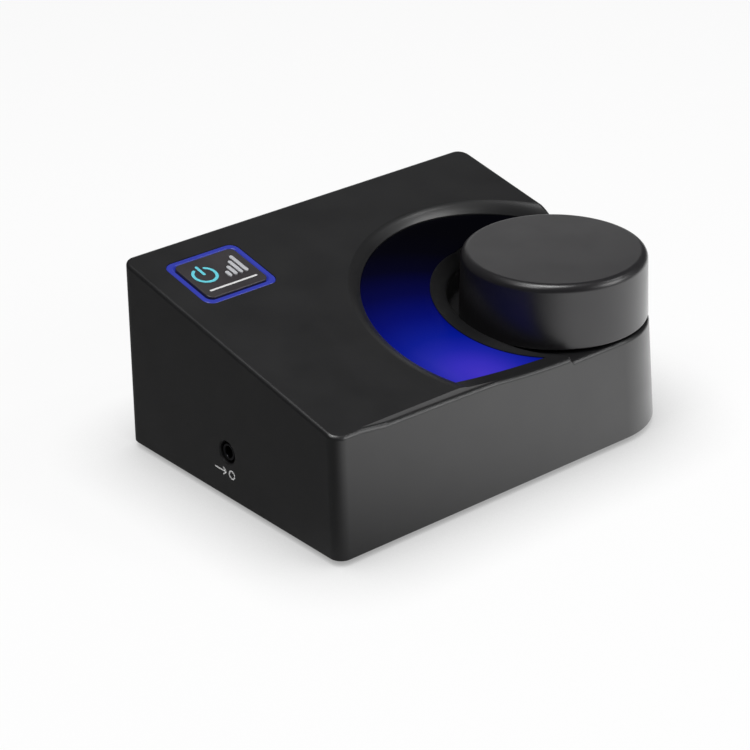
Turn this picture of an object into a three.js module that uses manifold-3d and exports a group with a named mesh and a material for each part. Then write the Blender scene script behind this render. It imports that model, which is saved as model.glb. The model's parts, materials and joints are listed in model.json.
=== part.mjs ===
// Studio monitor controller: a wedge-shaped desktop volume control for a pair of powered loudspeakers.
// A moulded shell with a dished, lit scoop carries one large knob that turns without end stops,
// a framed push tile, an auxiliary input on the left, and the outputs, inputs and power at the back.
// Lengths are millimetres, angles are degrees. X runs to the right, Y to the back and Z up.
import * as THREE from 'three';
import { mergeVertices, toCreasedNormals } from 'three/addons/utils/BufferGeometryUtils.js';
import Module from 'manifold-3d';

const wasm = await Module();
wasm.setup();

// Fits used all over
const seatGap = 0.05;
const slipGap = 0.15;
const looseGap = 0.3;
const overrun = 2;
const weld = 0.0001;

// Housing
const housingWidth = 140;
const housingDepth = 101;
const frontHeight = 40.2;
const backHeight = 61.6;
const shadowGap = 1.7;
const wall = 2.4;
const cornerRadius = 4;
const knobCornerRadius = 26;
const topEdgeRadius = 1.2;
const bottomEdgeRadius = 0.5;
const leftDraft = 0.4;
const frontDraft = 1.7;
const rightDraft = 4.1;
const backDraft = 0.2;

// Knob
const knobRightInset = 30;
const knobFrontInset = 29.8;
const knobRadius = 29;
const knobTopHeight = 56.4;
const knobFloorGap = 1.05;
const knobDraft = 1.9;
const knobEdgeRadius = 2.5;
const knobWall = 2.6;
const knobRoof = 3;
const knobHubRadius = 8;
const knobHubCover = 6.4;
const knobRibThickness = 1.6;
const knobRibShare = 2 / 3;
const knobRibCount = 6;

// Scoop in the top face: a shallow tilted bowl round the knob, ending in a soft wall
const bowlDrop = 6.47;
const bowlAcrossSlope = 0.0288;
const bowlAlongSlope = 0.1984;
const bowlRadiusAcross = 340.832;
const bowlRadiusAlong = 226.757;
const scoopOffsetX = -13.86;
const scoopOffsetY = -4.39;
const scoopRadius = 51.26;
const scoopWallWidth = 6;
const scoopRimShift = -2.4;
const scoopRimRise = 0.12;

// Well under the knob
const wellGap = 3.65;
const wellDepth = 5.03;
const notchReach = 18;
const bandWidth = 1.6;
const bandSlope = 0.111;
const wellFloorRound = 1.2;

// Crescent light window let into the scoop
const windowOffsetX = -7.83;
const windowOffsetY = 1.47;
const windowInnerRadius = 31;
const windowEdge = 0.3;
const windowRing = bandWidth;
const windowFrontStrip = 5.1;
const windowRightStrip = 9;
const windowThickness = 2.8;
const windowRecess = 0.12;

// Board with the lamps that light the window
const lightBoardDrop = 5.5;
const lightBoardThickness = 1.2;
const lightBoardBorder = 5;
const lightBoardWellGap = 2.15;
const lightPostRadius = 2;
const lightPostInset = 2.7;
const lightPostAngles = [195, 122, 72];
const stakeRadius = 1;
const stakeReach = 1.2;
const ledWidth = 3.5;
const ledDepth = 2.8;
const ledHeight = 1.9;
const ledAngles = [85, 113, 141, 169, 197];

// Push tile in a light frame
const badgeLeftInset = 22.2;
const badgeBackInset = 20.4;
const badgeWidth = 26.2;
const badgeDepth = 23.1;
const badgeCornerRadius = 3;
const badgeFrameWidth = 1.95;
const tileCornerRadius = 1.2;
const badgeFrameDepth = 3.6;
const badgeFlange = 1.3;
const badgeFlangeThickness = 1.1;
const tileProud = 0.35;
const tileRoof = 1.4;
const tileWall = 1.2;
const tileFlange = 1.1;
const tileFlangeThickness = 0.8;
const tileTravel = 0.5;
const tileStemRadius = 2.2;
const tileStemReach = 1.2;
const plungerRadius = 1.7;
const plungerReach = 1.3;
const switchSize = 6;
const switchHeight = 3.5;
const badgeBoardThickness = 1.2;
const badgeBoardDepth = 15;
const badgePostRadius = 1.8;
const badgePostGap = 0.5;
const badgeBoardBorder = 0.5;

// Rotary encoder that carries the knob
const encoderWidth = 12.4;
const encoderDepth = 13.2;
const encoderHeight = 6.5;
const bushingRadius = 3.5;
const bushingReach = 4.6;
const shaftRadius = 3;
const shaftFlat = 1.5;
const encoderNutAcross = 10;
const encoderNutThickness = 2;
const encoderWasherRadius = 6;
const encoderWasherThickness = 0.5;
const encoderBoardWidth = 30;
const encoderBoardDepth = 26;
const boardThickness = 1.6;
const boardCornerRadius = 2;
const insertRadius = 4.6;

// Base plate, its screws and its feet
const baseThickness = 2.8;
const baseRecess = 0.3;
const bossRadius = 3.6;
const bossBoardGap = 1.9;
const bossSideInset = 9;
const bossBackInset = 8.5;
const bossFrontInset = 9;
const knobBossInset = 18;
const ribThickness = 1.6;
const screwShankRadius = 1.25;
const screwLength = 9;
const screwHeadRadius = 2.8;
const screwHeadHeight = 1.5;
const footRadius = 6;
const footRecess = 0.8;
const footEdge = 0.6;
const footSideInset = 19;
const footEndInset = 14;
const knobFootInset = 27;

// Main board and what stands on it
const mainBoardHeight = 9.9;
const mainBoardLeftInset = 6;
const mainBoardRightInset = 8;
const mainBoardDepth = 56.5;
const mainBoardBackGap = 1.4;
const mainBoardNotchWidth = 9;
const mainBoardNotchDepth = 12;
const standoffRadius = 3;
const boardScrewLength = 5;
const boardScrewSideInset = 24;
const boardScrewBackSideInset = 14.5;
const boardScrewFrontPlace = 55.5;
const boardScrewBackPlace = 22.5;
const moduleWidth = 17;
const moduleDepth = 24;
const moduleHeight = 2.6;
const moduleShare = -0.31;
const modulePlace = 47.5;
const chipSize = 10;
const chipHeight = 1.2;
const chipShare = 0.11;
const chipPlace = 42.5;
const capacitorRadius = 4;
const capacitorHeight = 12;
const capacitorShare = 0.51;
const capacitorPlace = 28.5;
const capacitorPitch = 10;
const capacitorCount = 3;

// Auxiliary input in the left side, 3.5 mm
const auxY = 0.7;
const auxHeight = 16.7;
const auxBoreRadius = 1.8;
const auxBoreDepth = 13;
const auxBushRadius = 2.7;
const auxHoleRadius = 3.5;
const auxBodyWidth = 11;
const auxBodyLength = 14;
const auxBodyHeight = 8;
const auxBushInset = 0.7;
const auxMouth = 0.4;

// Balanced outputs in the back, 6.35 mm
const outputShares = [-0.57, -0.23];
const outputBodyWidth = 15.6;
const outputBodyLength = 28;
const outputBodyHeight = 15.8;
const outputBoreRadius = 3.3;
const outputBoreDepth = 30;
const outputBushRadius = 5.6;
const outputNutAcross = 14.2;
const outputNutThickness = 2.2;
const outputThreadReach = 1;

// Paired line inputs in the back
const inputShare = 0.246;
const inputPitch = 14.5;
const inputBodyBorder = 6.5;
const inputBodyLength = 13;
const inputBodyHeight = 14;
const inputBarrelRadius = 4.15;
const inputBarrelBore = 3.35;
const inputBarrelReach = 9;
const inputCoreSet = 0.8;
const inputPinRadius = 1.65;
const inputPinDepth = 7.5;

// Power inlet in the back
const powerShare = 0.686;
const powerBodyWidth = 9;
const powerBodyLength = 14;
const powerBodyHeight = 11;
const powerRingRadius = 4.2;
const powerBoreRadius = 3.15;
const powerBoreDepth = 9.5;
const powerPinRadius = 1.05;
const powerRingInset = 0.4;

// How finely round things are faceted
const smallCornerSteps = 4;
const largeCornerSteps = 12;
const edgeSteps = 3;
const scoopSteps = 72;
const scoopFloorRings = 4;
const scoopWallRings = 5;
const wellSteps = 60;
const knobSteps = 64;
const knobEdgeSteps = 4;
const pinSteps = 12;
const socketSteps = 24;
const footSteps = 24;
const creaseAngle = THREE.MathUtils.degToRad(32);

// Worked out from the sizes above
const lean = (degrees) => Math.tan(THREE.MathUtils.degToRad(degrees));
const widestHeight = shadowGap + bottomEdgeRadius;
const roofFrontY = -housingDepth / 2 + (frontHeight - widestHeight) * lean(frontDraft);
const roofBackY = housingDepth / 2 - (backHeight - widestHeight) * lean(backDraft);
const roofSlope = (backHeight - frontHeight) / (roofBackY - roofFrontY);
const roofAngle = Math.atan(roofSlope);
const openTop = Math.max(backHeight, knobTopHeight) + overrun;
const backY = housingDepth / 2;
const baseLow = shadowGap + baseRecess;
const baseHigh = baseLow + baseThickness;
const mainBoardTop = mainBoardHeight + boardThickness;
const rearReach = inputBarrelReach;

const roofHeight = (y) => frontHeight + (y - roofFrontY) * roofSlope;

// Places in plan: the knob keeps to the right front corner, and the scoop, well and window keep to the knob
const knobX = housingWidth / 2 - knobRightInset;
const knobY = -housingDepth / 2 + knobFrontInset;
const scoopX = knobX + scoopOffsetX;
const scoopY = knobY + scoopOffsetY;
const windowInnerX = knobX + windowOffsetX;
const windowInnerY = knobY + windowOffsetY;
const badgeX = -housingWidth / 2 + badgeLeftInset;
const badgeY = backY - badgeBackInset;
const acrossBack = (share) => share * housingWidth / 2;
const outputSpots = outputShares.map(acrossBack);
const inputSpots = [-inputPitch / 2, inputPitch / 2].map((offset) => acrossBack(inputShare) + offset);
const powerX = acrossBack(powerShare);

// Sizes that follow from the knob and the roof over it
const bowlHeight = roofHeight(knobY) - bowlDrop;
const wellFloorHeight = bowlHeight - wellDepth;
const wellRadius = knobRadius + wellGap;
const encoderHigh = wellFloorHeight - wall - 2 * seatGap;
const encoderLow = encoderHigh - encoderHeight;
const encoderBoardHigh = encoderLow - seatGap;
const encoderBoardLow = encoderBoardHigh - boardThickness;
const bossTopHeight = encoderBoardLow - bossBoardGap;

function bowlHeightAt(x, y) {
  const across = x - knobX;
  const along = y - knobY;
  const slope = across * bowlAcrossSlope + along * bowlAlongSlope;
  return bowlHeight + slope + across ** 2 / (2 * bowlRadiusAcross) + along ** 2 / (2 * bowlRadiusAlong);
}

const innerBackY = (z) => backY - (z - widestHeight) * lean(backDraft) - wall;
const innerLeftX = (z) => -housingWidth / 2 + (z - widestHeight) * lean(leftDraft) + wall;

// Finishes
const shellBlack = new THREE.MeshStandardMaterial({ color: 0x34343a, roughness: 0.55, metalness: 0 });
const baseBlack = new THREE.MeshStandardMaterial({ color: 0x1d1d20, roughness: 0.7, metalness: 0 });
const knobBlack = new THREE.MeshStandardMaterial({ color: 0x3c3a3d, roughness: 0.42, metalness: 0 });
const lightBlue = new THREE.MeshStandardMaterial({ color: 0x0a0f9c, roughness: 0.12, metalness: 0 });
const frameBlue = new THREE.MeshStandardMaterial({ color: 0x3942a8, roughness: 0.3, metalness: 0 });
const tileBlack = new THREE.MeshStandardMaterial({ color: 0x302d2f, roughness: 0.4, metalness: 0 });
const rubber = new THREE.MeshStandardMaterial({ color: 0x151515, roughness: 0.9, metalness: 0 });
const boardGreen = new THREE.MeshStandardMaterial({ color: 0x1d5a3a, roughness: 0.6, metalness: 0 });
const steel = new THREE.MeshStandardMaterial({ color: 0xb9bcc0, roughness: 0.35, metalness: 1 });
const brass = new THREE.MeshStandardMaterial({ color: 0xc9a24a, roughness: 0.35, metalness: 1 });
const plasticBlack = new THREE.MeshStandardMaterial({ color: 0x18181a, roughness: 0.5, metalness: 0 });
const plasticWhite = new THREE.MeshStandardMaterial({ color: 0xe8e8e4, roughness: 0.4, metalness: 0 });
const plasticRed = new THREE.MeshStandardMaterial({ color: 0xb3221f, roughness: 0.4, metalness: 0 });
const lampWhite = new THREE.MeshStandardMaterial({ color: 0xf2f2e6, roughness: 0.3, metalness: 0 });

// Solids and meshes
function solid(geometry) {
  const bare = new THREE.BufferGeometry();
  bare.setAttribute('position', geometry.getAttribute('position').clone());
  bare.setIndex(geometry.index);
  const merged = mergeVertices(bare, weld);
  const vertProperties = new Float32Array(merged.getAttribute('position').array);
  const triVerts = new Uint32Array(merged.index.array);
  return new wasm.Manifold(new wasm.Mesh({ numProp: 3, vertProperties, triVerts }));
}

function geometryOf(body) {
  const { vertProperties, triVerts } = body.getMesh();
  const geometry = new THREE.BufferGeometry();
  geometry.setAttribute('position', new THREE.BufferAttribute(new Float32Array(vertProperties), 3));
  geometry.setIndex(new THREE.BufferAttribute(new Uint32Array(triVerts), 1));
  return toCreasedNormals(geometry, creaseAngle);
}

function addPiece(parent, name, shape, material) {
  const geometry = shape.isBufferGeometry ? shape : geometryOf(shape);
  const mesh = new THREE.Mesh(geometry, material);
  mesh.name = name;
  parent.add(mesh);
  return mesh;
}

const joined = (bodies) => bodies.reduce((sum, body) => sum.add(body));

// A round bar that stands on z = low and ends at z = high
function bar(radius, low, high, steps = pinSteps) {
  const geometry = new THREE.CylinderGeometry(radius, radius, high - low, steps);
  return geometry.rotateX(Math.PI / 2).translate(0, 0, (low + high) / 2);
}

// The same bar laid along Y, from y = low to y = high
function barAlongY(radius, low, high, steps = socketSteps) {
  return new THREE.CylinderGeometry(radius, radius, high - low, steps).translate(0, (low + high) / 2, 0);
}

// The same bar laid along X, from x = low to x = high
function barAlongX(radius, low, high, steps = socketSteps) {
  const geometry = new THREE.CylinderGeometry(radius, radius, high - low, steps);
  return geometry.rotateZ(Math.PI / 2).translate((low + high) / 2, 0, 0);
}

// A hexagonal bar along Z or Y, by its size across flats
const hexBar = (across, low, high) => bar(across / Math.sqrt(3), low, high, 6);
const hexBarAlongY = (across, low, high) => barAlongY(across / Math.sqrt(3), low, high, 6);

function block(xLow, xHigh, yLow, yHigh, zLow, zHigh) {
  const geometry = new THREE.BoxGeometry(xHigh - xLow, yHigh - yLow, zHigh - zLow);
  return geometry.translate((xLow + xHigh) / 2, (yLow + yHigh) / 2, (zLow + zHigh) / 2);
}

function roundedRectangle(width, depth, radius) {
  const x = width / 2;
  const y = depth / 2;
  const shape = new THREE.Shape();
  shape.absarc(x - radius, y - radius, radius, 0, Math.PI / 2);
  shape.absarc(-x + radius, y - radius, radius, Math.PI / 2, Math.PI);
  shape.absarc(-x + radius, -y + radius, radius, Math.PI, 1.5 * Math.PI);
  shape.absarc(x - radius, -y + radius, radius, 1.5 * Math.PI, 2 * Math.PI);
  return shape;
}

function slab(shape, low, high) {
  const settings = { depth: high - low, bevelEnabled: false, curveSegments: smallCornerSteps };
  return new THREE.ExtrudeGeometry(shape, settings).translate(0, 0, low);
}

const roundedSlab = (width, depth, radius, low, high) => {
  return slab(roundedRectangle(width, depth, radius), low, high);
};

// A turned solid: the profile runs from the axis at the bottom, out and up, back to the axis at the top
function turned(profile, steps) {
  const points = profile.map(([radius, height]) => new THREE.Vector2(radius, height));
  return new THREE.LatheGeometry(points, steps).rotateX(Math.PI / 2);
}

// A closed skin over stacked rings of points, each ring anticlockwise from above, lowest ring first
function loft(rings) {
  const count = rings[0].length;
  const middle = (ring) => ring.reduce((sum, p) => sum.add(p), new THREE.Vector3()).divideScalar(count);
  const points = [...rings.flat(), middle(rings[0]), middle(rings.at(-1))];
  const lowCentre = points.length - 2;
  const highCentre = points.length - 1;
  const topRing = (rings.length - 1) * count;
  const index = [];
  for (let i = 0; i < count; i += 1) {
    const next = (i + 1) % count;
    for (let k = 0; k < rings.length - 1; k += 1) {
      const low = k * count;
      const high = low + count;
      index.push(low + i, low + next, high + next);
      index.push(low + i, high + next, high + i);
    }
    index.push(lowCentre, next, i);
    index.push(highCentre, topRing + i, topRing + next);
  }
  return new THREE.BufferGeometry().setFromPoints(points).setIndex(index);
}

// The housing's rounded outline: one entry for each point round its four drafted sides
function outlineEntries() {
  const corners = [
    { x: 1, y: 1, radius: cornerRadius, steps: smallCornerSteps },
    { x: -1, y: 1, radius: cornerRadius, steps: smallCornerSteps },
    { x: -1, y: -1, radius: cornerRadius, steps: smallCornerSteps },
    { x: 1, y: -1, radius: knobCornerRadius, steps: largeCornerSteps },
  ];
  return corners.flatMap((corner, quarter) => {
    const leanX = lean(corner.x > 0 ? rightDraft : leftDraft);
    const leanY = lean(corner.y > 0 ? backDraft : frontDraft);
    return Array.from({ length: corner.steps + 1 }, (_, step) => {
      const angle = (quarter + step / corner.steps) * Math.PI / 2;
      return { ...corner, leanX, leanY, cos: Math.cos(angle), sin: Math.sin(angle) };
    });
  });
}

const outline = outlineEntries();

function outlinePoint(entry, z, inset) {
  const rise = z - widestHeight;
  const centreX = entry.x * (housingWidth / 2 - entry.radius - rise * entry.leanX);
  const centreY = entry.y * (housingDepth / 2 - entry.radius - rise * entry.leanY);
  const radius = entry.radius - inset;
  return new THREE.Vector3(centreX + radius * entry.cos, centreY + radius * entry.sin, z);
}

// The outline's point where a drafted side, drawn in by the inset, meets the roof lowered by the drop
function roofPoint(entry, inset, drop) {
  const lowest = outlinePoint(entry, 0, inset);
  const leanBack = -entry.y * entry.leanY;
  const height = (roofHeight(lowest.y) - drop) / (1 - roofSlope * leanBack);
  return outlinePoint(entry, height, inset);
}

const levelRing = (z, inset) => outline.map((entry) => outlinePoint(entry, z, inset));
const roofRing = (inset, drop) => outline.map((entry) => roofPoint(entry, inset, drop));

function outerBody() {
  const rings = [levelRing(shadowGap, bottomEdgeRadius), levelRing(widestHeight, 0)];
  for (let step = 0; step <= edgeSteps; step += 1) {
    const angle = (step / edgeSteps) * Math.PI / 2;
    rings.push(roofRing(topEdgeRadius * (1 - Math.cos(angle)), topEdgeRadius * (1 - Math.sin(angle))));
  }
  return solid(loft(rings));
}

// Everything above the scoop's surface, lowered by the drop and widened by the growth
function aboveScoop(drop, growth) {
  const ringAt = (radius, shift, height) => Array.from({ length: scoopSteps }, (_, step) => {
    const angle = (step / scoopSteps) * 2 * Math.PI;
    const x = scoopX + radius * Math.cos(angle);
    const y = scoopY + shift + radius * Math.sin(angle);
    return new THREE.Vector3(x, y, height(x, y) - drop);
  });
  const floorRadius = scoopRadius + growth;
  const rings = [];
  for (let step = 1; step <= scoopFloorRings; step += 1) {
    rings.push(ringAt(floorRadius * step / scoopFloorRings, 0, bowlHeightAt));
  }
  for (let step = 1; step <= scoopWallRings; step += 1) {
    const share = step / scoopWallRings;
    const blend = share * (2 - share);
    const rise = scoopRimRise * share;
    const height = (x, y) => (1 - blend) * bowlHeightAt(x, y) + blend * roofHeight(y) + rise;
    rings.push(ringAt(floorRadius + scoopWallWidth * share, scoopRimShift * share, height));
  }
  rings.push(ringAt(floorRadius + scoopWallWidth, scoopRimShift, () => openTop + drop));
  return solid(loft(rings));
}

// The knob's well with its notch in the front wall, or with a growth the block of plastic round them
function wellBody(growth) {
  const low = wellFloorHeight - growth;
  const radius = wellRadius + growth;
  const profile = [[0, low], [radius - wellFloorRound, low], [radius, low + wellFloorRound]];
  profile.push([radius, openTop], [0, openTop]);
  const notchBack = knobY - Math.sqrt(wellRadius ** 2 - notchReach ** 2) + growth;
  const notchLeft = knobX - notchReach - growth;
  const notch = block(notchLeft, knobX, -housingDepth / 2 - overrun, notchBack, low, openTop);
  return solid(turned(profile, wellSteps).translate(knobX, knobY, 0)).add(solid(notch));
}

// The air over the slanting band between the well's edge and the window or the bowl
function aboveBand() {
  const ringAt = (radius, height) => Array.from({ length: wellSteps }, (_, step) => {
    const angle = (step / wellSteps) * 2 * Math.PI;
    const x = knobX + radius * Math.cos(angle);
    const y = knobY + radius * Math.sin(angle);
    return new THREE.Vector3(x, y, height(x, y));
  });
  const edge = (x, y) => bowlHeight + (y - knobY) * bandSlope;
  const outside = (x, y) => Math.max(bowlHeightAt(x, y), edge(x, y)) + overrun * bandSlope;
  const bandRadius = wellRadius + bandWidth;
  const rings = [ringAt(wellRadius, edge), ringAt(bandRadius, outside), ringAt(bandRadius, () => openTop)];
  return solid(loft(rings));
}

// The crescent seen from above, as an upright prism, widened all round by the growth
function crescent(growth, low, high) {
  const outer = bar(scoopRadius - windowEdge + growth, low, high, scoopSteps).translate(scoopX, scoopY, 0);
  const inner = bar(windowInnerRadius - growth, low - overrun, high + overrun, wellSteps);
  const ring = bar(wellRadius + windowRing - growth, low - overrun, high + overrun, wellSteps);
  const front = roofFrontY + windowFrontStrip - growth;
  const right = housingWidth / 2 - windowRightStrip + growth;
  const field = block(-housingWidth / 2, right, front, housingDepth / 2, low - overrun, high + overrun);
  return solid(outer)
    .subtract(solid(inner.translate(windowInnerX, windowInnerY, 0)))
    .subtract(solid(ring.translate(knobX, knobY, 0)))
    .intersect(solid(field));
}

// The tilted frame of the lamp board: its top face is the bowl's tangent plane, lowered
const lightUnit = new THREE.Group();
lightUnit.position.set(knobX, knobY, bowlHeight - lightBoardDrop);
lightUnit.rotation.x = Math.atan(bowlAlongSlope);
lightUnit.updateMatrixWorld();

// The tilted frame of the push tile: its origin lies on the sloping roof, its Z points out of it
const badgeUnit = new THREE.Group();
badgeUnit.position.set(badgeX, badgeY, roofHeight(badgeY));
badgeUnit.rotation.x = roofAngle;
badgeUnit.updateMatrixWorld();

const inUnit = (unit, geometry) => solid(geometry.applyMatrix4(unit.matrixWorld));

// A place on the lamp board by its angle and distance from the scoop's centre
function lightSpot(degrees, radius) {
  const angle = THREE.MathUtils.degToRad(degrees);
  const across = scoopX + radius * Math.cos(angle) - knobX;
  const along = (scoopY + radius * Math.sin(angle) - knobY) / Math.cos(lightUnit.rotation.x);
  return new THREE.Vector2(across, along);
}

// How far from the scoop's centre the middle of the window lies in one direction
function windowMiddle(degrees) {
  const angle = THREE.MathUtils.degToRad(degrees);
  const offset = new THREE.Vector2(windowInnerX - scoopX, windowInnerY - scoopY);
  const along = offset.x * Math.cos(angle) + offset.y * Math.sin(angle);
  const innerEdge = along + Math.sqrt(along ** 2 - offset.lengthSq() + windowInnerRadius ** 2);
  return (innerEdge + scoopRadius) / 2;
}

const lightPosts = lightPostAngles.map((degrees) => lightSpot(degrees, scoopRadius + lightPostInset));
const roofNormalWall = wall * Math.cos(roofAngle);
const badgePostX = badgeWidth / 2 + badgeFlange + badgePostGap + badgePostRadius;
const tileFlangeLow = -badgeFrameDepth - seatGap - tileFlangeThickness;
const tileStemLow = tileFlangeLow - tileStemReach;
const plungerLow = tileStemLow - plungerReach;
const badgeBoardHigh = plungerLow + tileTravel - switchHeight;
const badgeBoardLow = badgeBoardHigh - badgeBoardThickness;

// Screw places in the base
const baseScrewSpots = [
  [-housingWidth / 2 + bossSideInset, housingDepth / 2 - bossBackInset],
  [housingWidth / 2 - bossSideInset, housingDepth / 2 - bossBackInset],
  [-housingWidth / 2 + bossSideInset, -housingDepth / 2 + bossFrontInset],
  [housingWidth / 2 - knobBossInset, -housingDepth / 2 + knobBossInset],
];

const footSpots = [
  [-housingWidth / 2 + footSideInset, housingDepth / 2 - footEndInset],
  [housingWidth / 2 - footSideInset, housingDepth / 2 - footEndInset],
  [-housingWidth / 2 + footSideInset, -housingDepth / 2 + footEndInset],
  [housingWidth / 2 - knobFootInset, -housingDepth / 2 + footEndInset],
];

const boardScrewSpots = [
  [-housingWidth / 2 + boardScrewBackSideInset, backY - boardScrewBackPlace],
  [housingWidth / 2 - boardScrewBackSideInset, backY - boardScrewBackPlace],
  [-housingWidth / 2 + boardScrewSideInset, backY - boardScrewFrontPlace],
  [housingWidth / 2 - boardScrewSideInset, backY - boardScrewFrontPlace],
];

// Heights of the sockets that stand on the main board
const componentLow = mainBoardTop + seatGap;
const outputHeight = componentLow + outputBodyHeight / 2;
const inputHeight = componentLow + inputBodyHeight / 2;
const powerHeight = componentLow + powerBodyHeight / 2;

// Posts, bosses and ribs moulded inside the shell
function shellFeatures() {
  const pilotLow = baseHigh + seatGap;
  const features = baseScrewSpots.map(([x, y]) => {
    return solid(bar(bossRadius, pilotLow, bossTopHeight).translate(x, y, 0));
  });
  baseScrewSpots.forEach(([x, y]) => {
    const side = Math.sign(x);
    const end = Math.sign(y);
    const edgeX = side * housingWidth / 2;
    const edgeY = end * housingDepth / 2;
    const half = ribThickness / 2;
    const across = block(Math.min(x, edgeX), Math.max(x, edgeX), y - half, y + half, pilotLow, bossTopHeight);
    const along = block(x - half, x + half, Math.min(y, edgeY), Math.max(y, edgeY), pilotLow, bossTopHeight);
    features.push(solid(across), solid(along));
  });
  lightPosts.forEach((spot) => {
    const post = bar(lightPostRadius, seatGap, backHeight).translate(spot.x, spot.y, 0);
    const pin = bar(stakeRadius, -lightBoardThickness - stakeReach, overrun).translate(spot.x, spot.y, 0);
    features.push(inUnit(lightUnit, post), inUnit(lightUnit, pin));
  });
  [-badgePostX, badgePostX].forEach((across) => {
    const post = bar(badgePostRadius, badgeBoardHigh + seatGap, 0).translate(across, 0, 0);
    const pin = bar(stakeRadius, badgeBoardLow - stakeReach, badgeBoardHigh + overrun);
    features.push(inUnit(badgeUnit, post), inUnit(badgeUnit, pin.translate(across, 0, 0)));
  });
  return joined(features);
}

// Screw pilots, socket holes and the openings for the window, the push tile and the encoder
function shellCuts() {
  const pilotDepth = screwLength + overrun;
  const cuts = baseScrewSpots.map(([x, y]) => {
    const hole = bar(screwShankRadius + slipGap, baseHigh - overrun, baseHigh + pilotDepth);
    return solid(hole.translate(x, y, 0));
  });
  const backLow = innerBackY(backHeight) - overrun;
  const backHigh = housingDepth / 2 + overrun;
  const backHole = (radius, x, z) => solid(barAlongY(radius + slipGap, backLow, backHigh).translate(x, 0, z));
  outputSpots.forEach((x) => cuts.push(backHole(outputBushRadius, x, outputHeight)));
  inputSpots.forEach((x) => cuts.push(backHole(inputBarrelRadius, x, inputHeight)));
  cuts.push(backHole(powerRingRadius, powerX, powerHeight));
  const auxHole = barAlongX(auxHoleRadius, -housingWidth / 2 - overrun, innerLeftX(auxHeight) + overrun);
  cuts.push(solid(auxHole.translate(0, auxY, auxHeight)));
  cuts.push(crescent(slipGap, wellFloorHeight, openTop));
  const holeWidth = badgeWidth + 2 * slipGap;
  const holeDepth = badgeDepth + 2 * slipGap;
  const holeLow = -roofNormalWall - overrun / 2;
  const frameHole = roundedSlab(holeWidth, holeDepth, badgeCornerRadius + slipGap, holeLow, overrun);
  cuts.push(inUnit(badgeUnit, frameHole));
  const shaftHole = bar(bushingRadius + slipGap, wellFloorHeight - wall - overrun, wellFloorHeight + overrun);
  cuts.push(solid(shaftHole.translate(knobX, knobY, 0)));
  return joined(cuts);
}

function upperShell() {
  const outer = outerBody();
  const hollow = solid(loft([levelRing(shadowGap - overrun, wall), roofRing(wall, wall)]))
    .subtract(aboveScoop(wall, wall))
    .subtract(wellBody(wall));
  return outer
    .subtract(hollow)
    .add(shellFeatures().intersect(outer))
    .subtract(aboveScoop(0, 0))
    .subtract(wellBody(0))
    .subtract(aboveBand())
    .subtract(shellCuts());
}

function basePlate() {
  const inset = wall + looseGap;
  const plate = solid(loft([levelRing(baseLow, inset), levelRing(baseHigh, inset)]));
  const standoffs = boardScrewSpots.map(([x, y]) => {
    return solid(bar(standoffRadius, baseLow + seatGap, mainBoardHeight - seatGap).translate(x, y, 0));
  });
  const cuts = baseScrewSpots.flatMap(([x, y]) => {
    const shank = bar(screwShankRadius + looseGap, baseLow - overrun, baseHigh + overrun);
    const head = bar(screwHeadRadius + looseGap, baseLow - overrun, baseLow + screwHeadHeight + slipGap);
    return [solid(shank.translate(x, y, 0)), solid(head.translate(x, y, 0))];
  });
  footSpots.forEach(([x, y]) => {
    const recess = bar(footRadius + slipGap, baseLow - overrun, baseLow + footRecess, footSteps);
    cuts.push(solid(recess.translate(x, y, 0)));
  });
  boardScrewSpots.forEach(([x, y]) => {
    const pilot = bar(screwShankRadius + slipGap, mainBoardTop - boardScrewLength - looseGap, mainBoardTop);
    cuts.push(solid(pilot.translate(x, y, 0)));
  });
  return joined([plate, ...standoffs]).subtract(joined(cuts));
}

// A foot, standing on z = 0 and ending in its recess
function foot() {
  const high = baseLow + footRecess - seatGap;
  const profile = [[0, 0], [footRadius - footEdge, 0], [footRadius, footEdge], [footRadius, high], [0, high]];
  return turned(profile, footSteps);
}

// A pan-head screw with its head's seat at z = 0 and its shank pointing up
function screw(length) {
  const round = screwHeadHeight / 3;
  const profile = [[0, -screwHeadHeight], [screwHeadRadius - round, -screwHeadHeight]];
  profile.push([screwHeadRadius, -screwHeadHeight + round], [screwHeadRadius, 0], [screwShankRadius, 0]);
  profile.push([screwShankRadius, length - screwShankRadius], [0, length]);
  return turned(profile, pinSteps);
}

// Knob: a thin cap with a rounded top edge, a hub for the brass insert and ribs between the two
const knobLow = wellFloorHeight + knobFloorGap;
const insertHigh = knobTopHeight - knobHubCover;
const shaftHigh = insertHigh - looseGap;
const shaftFlatLow = wellFloorHeight + bushingReach + looseGap;
const insertLow = shaftFlatLow + looseGap;

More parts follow.
